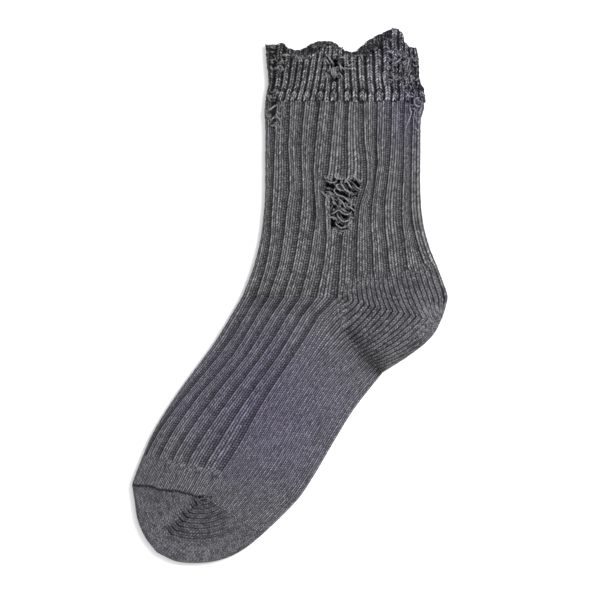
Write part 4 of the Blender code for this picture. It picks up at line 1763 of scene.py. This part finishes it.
def make_foot():
    strip = Strip(foot_plan, even_length(FOOT_COURSES), (0, TUBE), 1, foot_look, foot_drift)
    sizes = bpy.context.scene.sock.sizes
    return knitted(
        "foot",
        [strip],
        3,
        closed=True,
        Rib_Depth=sizes.rib_depth,
        Wale_Groove=sizes.sole_groove,
        Leg_Groove=sizes.sole_groove * 0.8,
        Course_Groove=sizes.sole_groove * 1.2,
        Unevenness=0.00014,
        Rib_Shade=0.72,
        Groove_Shade=0.38,
    )


def make_toe():
    lower, upper = pocket_length(TOE_LOWER_COURSES), pocket_length(TOE_UPPER_COURSES)
    strips = [
        Strip(toe_lower_plan, lower, POCKET_WALES, 1, toe_lower_look),
        Strip(toe_upper_plan, upper, POCKET_WALES, -1, toe_upper_look),
    ]
    sizes = bpy.context.scene.sock.sizes
    return knitted(
        "toe",
        strips,
        4,
        Wale_Groove=sizes.heel_groove * 0.7,
        Groove_Spread=-0.4,
        Leg_Groove=sizes.heel_groove * 0.2,
        Course_Groove=sizes.heel_groove * 0.4,
        Unevenness=0.00014,
        Groove_Shade=0.7,
    )


def laid(route, lift):
    """Where a strand lies, and its height over the cloth. Both of its ends are tucked in."""
    plan = np.asarray(route, float)
    fold = sizes_in_mm()["fold"]
    place, out = envelope(plan, np.ones(len(plan), bool), fold)
    rise = np.full(len(plan), float(lift))
    rise[[0, -1]] = TUCK
    return place + out * rise[:, None], rise


def open_loop(tip_x, tip_y, half, length):
    """The way of a wale's last stitch: down one side, round the tip and back."""
    turns = np.linspace(math.pi, 2 * math.pi, 5)
    hand = math.copysign(half, length)
    bend = [(tip_x + half * math.cos(t), tip_y + hand * (1 + math.sin(t))) for t in turns]
    return [(tip_x - half, tip_y + length), *bend, (tip_x + half, tip_y + length)]


def curl(x, y, radius, start, sweep, move):
    """Places round a bend of yarn that is pulled along as it turns."""
    s = np.linspace(0, 1, 6)
    way_x = x + radius * np.cos(start + sweep * s) + move[0] * s
    way_y = y + radius * np.sin(start + sweep * s) + move[1] * s
    return way_x, way_y


def curls(rng):
    """Small loops of yarn that have been pulled out of the knit in the tangled places."""
    ways = []
    border = [tuple(p) for p in EDGE]
    for px, py, reach_x, reach_y, strength in TANGLES:
        for _ in range(int(CURLS_PER_AREA * reach_x * reach_y * strength)):
            turn, far = rng.uniform(0, 2 * math.pi), math.sqrt(rng.uniform(0, 1.0))
            x = px + reach_x * far * math.cos(turn)
            y = py + reach_y * far * math.sin(turn)
            radius, start, sweep = rng.uniform(0.5, 1.0), rng.uniform(0, 2 * math.pi), rng.uniform(1.8, 4.2)
            sweep *= rng.choice((-1, 1))
            way_x, way_y = curl(x, y, radius, start, sweep, rng.uniform(-1.0, 1.0, 2))
            below_rim = way_y < CUFF_LOW + from_table(RIM_UPPER, way_x) - 1.0
            lift = rng.uniform(-0.6, 0.2)
            clear = from_edge(np.stack([way_x, way_y], -1))[0] > 1.3
            if (inside(border, way_x, way_y) & below_rim & clear).all():
                ways.append((lift, list(zip(way_x, way_y)), rng.uniform(0.55, 0.85)))
    return ways


def frayed(rng):
    """Yarn that has come loose between the two rims, over the inner side of the under layer."""
    ways = []
    for x in np.arange(*FRAY_AT):
        low, high = (CUFF_LOW + float(from_table(rim, x)) for rim in (RIM_UPPER, RIM_UNDER))
        if high - low < 1.6:
            continue
        y = rng.uniform(low - 0.4, high - 1.4)
        radius, start, sweep = rng.uniform(0.5, 1.0), rng.uniform(0, 2 * math.pi), rng.uniform(1.6, 4.0)
        way_x, way_y = curl(x, y, radius, start, sweep, rng.uniform(-0.8, 0.8, 2))
        if (way_y < CUFF_LOW + from_table(RIM_UNDER, way_x) - 0.9).all():
            ways.append((rng.uniform(-2.0, -0.5), list(zip(way_x, way_y)), rng.uniform(0.6, 0.85)))
    return ways


def fallen(rng):
    """Shorter yarn that has sunk into the ankle hole, under the strands across it."""
    ways = []
    for _ in range(FALLEN):
        y = rng.uniform(35.0, 62.0)
        left, right = (20.0, 37.5) if y > 54 else (23.5, 33.5)
        x = rng.uniform(left, right)
        slope, bend, half = rng.uniform(-1.4, 0.1), rng.uniform(-0.9, 0.9), rng.uniform(1.4, 3.0)
        s = np.linspace(-1, 1, 5)
        way_x = x + half * s / math.hypot(1, slope)
        way_y = y + slope * (way_x - x) + bend * (1 - s * s)
        ways.append((rng.uniform(-1.6, -0.5), list(zip(way_x, way_y)), rng.uniform(0.6, 0.9)))
    return ways


def rim_loops(rng):
    """The open stitches along the front of the frilled rim."""
    ways = []
    for x in np.arange(*RIM_LOOP_AT):
        top = CUFF_LOW + float(from_table(RIM_UPPER, x)) + rng.uniform(-0.3, 0.7)
        half = rng.uniform(0.45, 0.8)
        if rng.uniform() < 0.75:
            lift = rng.uniform(-0.4, 0.2)
            loop = open_loop(x, top, half, -rng.uniform(1.8, 3.2))
            ways.append((lift, loop, rng.uniform(0.5, 0.8)))
    return ways


def spin(name, part, ways, seed):
    """Loose yarn along ways over the cloth, as one piece. Each way is a lift, a route and perhaps a width."""
    rng = np.random.default_rng(seed)
    points, pairs, widths, hollows = [], [], [], []
    for lift, route, *width in ways:
        strand, rise = laid(route, lift)
        first = len(points)
        points += strand.tolist()
        pairs += [(k, k + 1) for k in range(first, len(points) - 1)]
        widths += (width or [rng.uniform(0.68, 0.98)]) * len(strand)
        # painted shade on yarn that has sunk in, darkest at its tucked ends
        hollows += np.clip(0.1 - 0.7 * rise, 0.0, 0.9).tolist()
    mesh = bpy.data.meshes.new(name)
    mesh.from_pydata([[c * MM for c in p] for p in points], pairs, [])
    carry(mesh, "size", widths)
    carry(mesh, "hollow", hollows)
    obj = placed_object(name, mesh)
    with_nodes(
        obj,
        shared("yarn strands", yarn_tree),
        Thickness=bpy.context.scene.sock.sizes.yarn,
        Twist_Length=0.0028,
        Step=0.0006,
        Waver=0.0003,
        Seed=seed,
        Material=material_for(part, stitched=False),
    )
    return finish_piece(obj, part, None)


# ======================================================================== operators


class SOCK_OT_loose_yarn(bpy.types.Operator):
    """Lay the loose yarn: in the ankle hole, over the worn cuff and at the toe seam"""

    bl_idname = "sock.loose_yarn"
    bl_label = "Loose Yarn"

    def execute(self, context):
        seed = context.scene.sock.seed
        rng = np.random.default_rng(seed)
        hanging = [(0.1, open_loop(*loop)) for loop in ANKLE_LOOPS]
        hanging += fallen(rng)
        spin("Ankle_Yarn", "leg", [*ANKLE_YARN, *hanging], seed)
        painted_fold_shade = [*CUFF_YARN, *curls(rng), *rim_loops(rng), *frayed(rng)]
        spin("Cuff_Yarn", "cuff", painted_fold_shade, seed + 1)
        spin("Toe_Yarn", "toe", TOE_YARN, seed + 2)
        return {"FINISHED"}


class SOCK_OT_cuff(bpy.types.Operator):
    """Knit the frilled cuff, one knit wale and one purl wale to a rib"""

    bl_idname = "sock.cuff"
    bl_label = "Cuff"

    def execute(self, context):
        finish_piece(make_cuff(), "cuff", CUFF_FLAT)
        return {"FINISHED"}


class SOCK_OT_leg(bpy.types.Operator):
    """Knit the ribbed leg, with the hole above the ankle"""

    bl_idname = "sock.leg"
    bl_label = "Leg"

    def execute(self, context):
        finish_piece(make_leg(), "leg", LEG_FLAT)
        return {"FINISHED"}


class SOCK_OT_heel(bpy.types.Operator):
    """Knit the heel pocket, in short courses that turn at the gore"""

    bl_idname = "sock.heel"
    bl_label = "Heel"

    def execute(self, context):
        finish_piece(make_heel(), "heel", HEEL_FLAT)
        return {"FINISHED"}


class SOCK_OT_foot(bpy.types.Operator):
    """Knit the foot, ribbed on the instep and plain on the sole"""

    bl_idname = "sock.foot"
    bl_label = "Foot"

    def execute(self, context):
        finish_piece(make_foot(), "foot", FOOT_FLAT)
        return {"FINISHED"}


class SOCK_OT_toe(bpy.types.Operator):
    """Knit the toe pocket, in short courses that turn at the gore and end at the linking seam"""

    bl_idname = "sock.toe"
    bl_label = "Toe"

    def execute(self, context):
        finish_piece(make_toe(), "toe", TOE_FLAT)
        return {"FINISHED"}


class SOCK_OT_stage(bpy.types.Operator):
    """Lay a pale floor, hang soft lights and set the camera straight above the sock"""

    bl_idname = "sock.stage"
    bl_label = "Stage"

    def execute(self, context):
        scene = context.scene
        mesh = bpy.data.meshes.new("Floor")
        corners = [(x * FLOOR_HALF, y * FLOOR_HALF, 0) for x, y in ((-1, -1), (1, -1), (1, 1), (-1, 1))]
        mesh.from_pydata(corners, [], [(0, 1, 2, 3)])
        floor = placed_object("Floor", mesh)
        paper = bpy.data.materials.new("Floor White")
        paper.use_nodes = True
        shader = paper.node_tree.nodes["Principled BSDF"]
        shader.inputs["Base Color"].default_value = (0.93, 0.93, 0.93, 1.0)
        shader.inputs["Roughness"].default_value = 0.9
        shader.inputs["Specular IOR Level"].default_value = 0.1
        mesh.materials.append(paper)
        world = bpy.data.worlds.new("Soft Studio")
        world.use_nodes = True
        back = world.node_tree.nodes["Background"]
        back.inputs["Color"].default_value = (1.0, 1.0, 1.0, 1.0)
        back.inputs["Strength"].default_value = 1.0
        scene.world = world
        key = bpy.data.lights.new("Key", "AREA")
        key.shape, key.size, key.energy = "DISK", KEY_SIZE, KEY_POWER
        lamp = placed_object("Key", key)
        lamp.location = KEY_PLACE
        lamp.rotation_euler = direction(lamp.location, (0.0, 0.0, 0.0))
        camera = bpy.data.cameras.new("Camera")
        camera.lens, camera.sensor_width = LENS, SENSOR
        camera.clip_start, camera.clip_end = 0.1, 10.0
        eye = placed_object("Camera", camera)
        height = VIEW_WIDE / 2 / (camera.sensor_width / 2 / camera.lens)
        eye.location = (*VIEW_MIDDLE, height + VIEW_LEVEL)
        scene.camera = eye
        scene.view_settings.view_transform = "Standard"
        return {"FINISHED"}


def direction(place, target):
    """The turn that points a lamp at a target."""
    way = [t - p for p, t in zip(place, target)]
    flat = math.hypot(way[0], way[1])
    return (math.atan2(flat, -way[2]), 0.0, math.atan2(way[1], way[0]) - math.pi / 2)


class SOCK_PT_panel(bpy.types.Panel):
    """The sock's pieces, in the order they are made"""

    bl_idname = "SOCK_PT_panel"
    bl_label = "Holey Crew Sock"
    bl_space_type = "VIEW_3D"
    bl_region_type = "UI"
    bl_category = "Sock"

    def draw(self, context):
        settings = context.scene.sock
        for group in (settings.sizes, settings.colours):
            for key in group.bl_rna.properties.keys():
                if key not in {"rna_type", "name"}:
                    self.layout.prop(group, key)
        for operator in OPERATORS:
            self.layout.operator(operator.bl_idname)


OPERATORS = (
    SOCK_OT_stage,
    SOCK_OT_loose_yarn,
    SOCK_OT_cuff,
    SOCK_OT_leg,
    SOCK_OT_heel,
    SOCK_OT_foot,
    SOCK_OT_toe,
)
CLASSES = (SockSizes, SockColours, SockSettings, *OPERATORS, SOCK_PT_panel)


def register():
    for one in CLASSES:
        bpy.utils.register_class(one)
    bpy.types.Scene.sock = bpy.props.PointerProperty(type=SockSettings)


def unregister():
    del bpy.types.Scene.sock
    for one in reversed(CLASSES):
        bpy.utils.unregister_class(one)


def main():
    register()
    for operator in OPERATORS:
        group, name = operator.bl_idname.split(".")
        getattr(getattr(bpy.ops, group), name)()


if __name__ == "__main__":
    main()
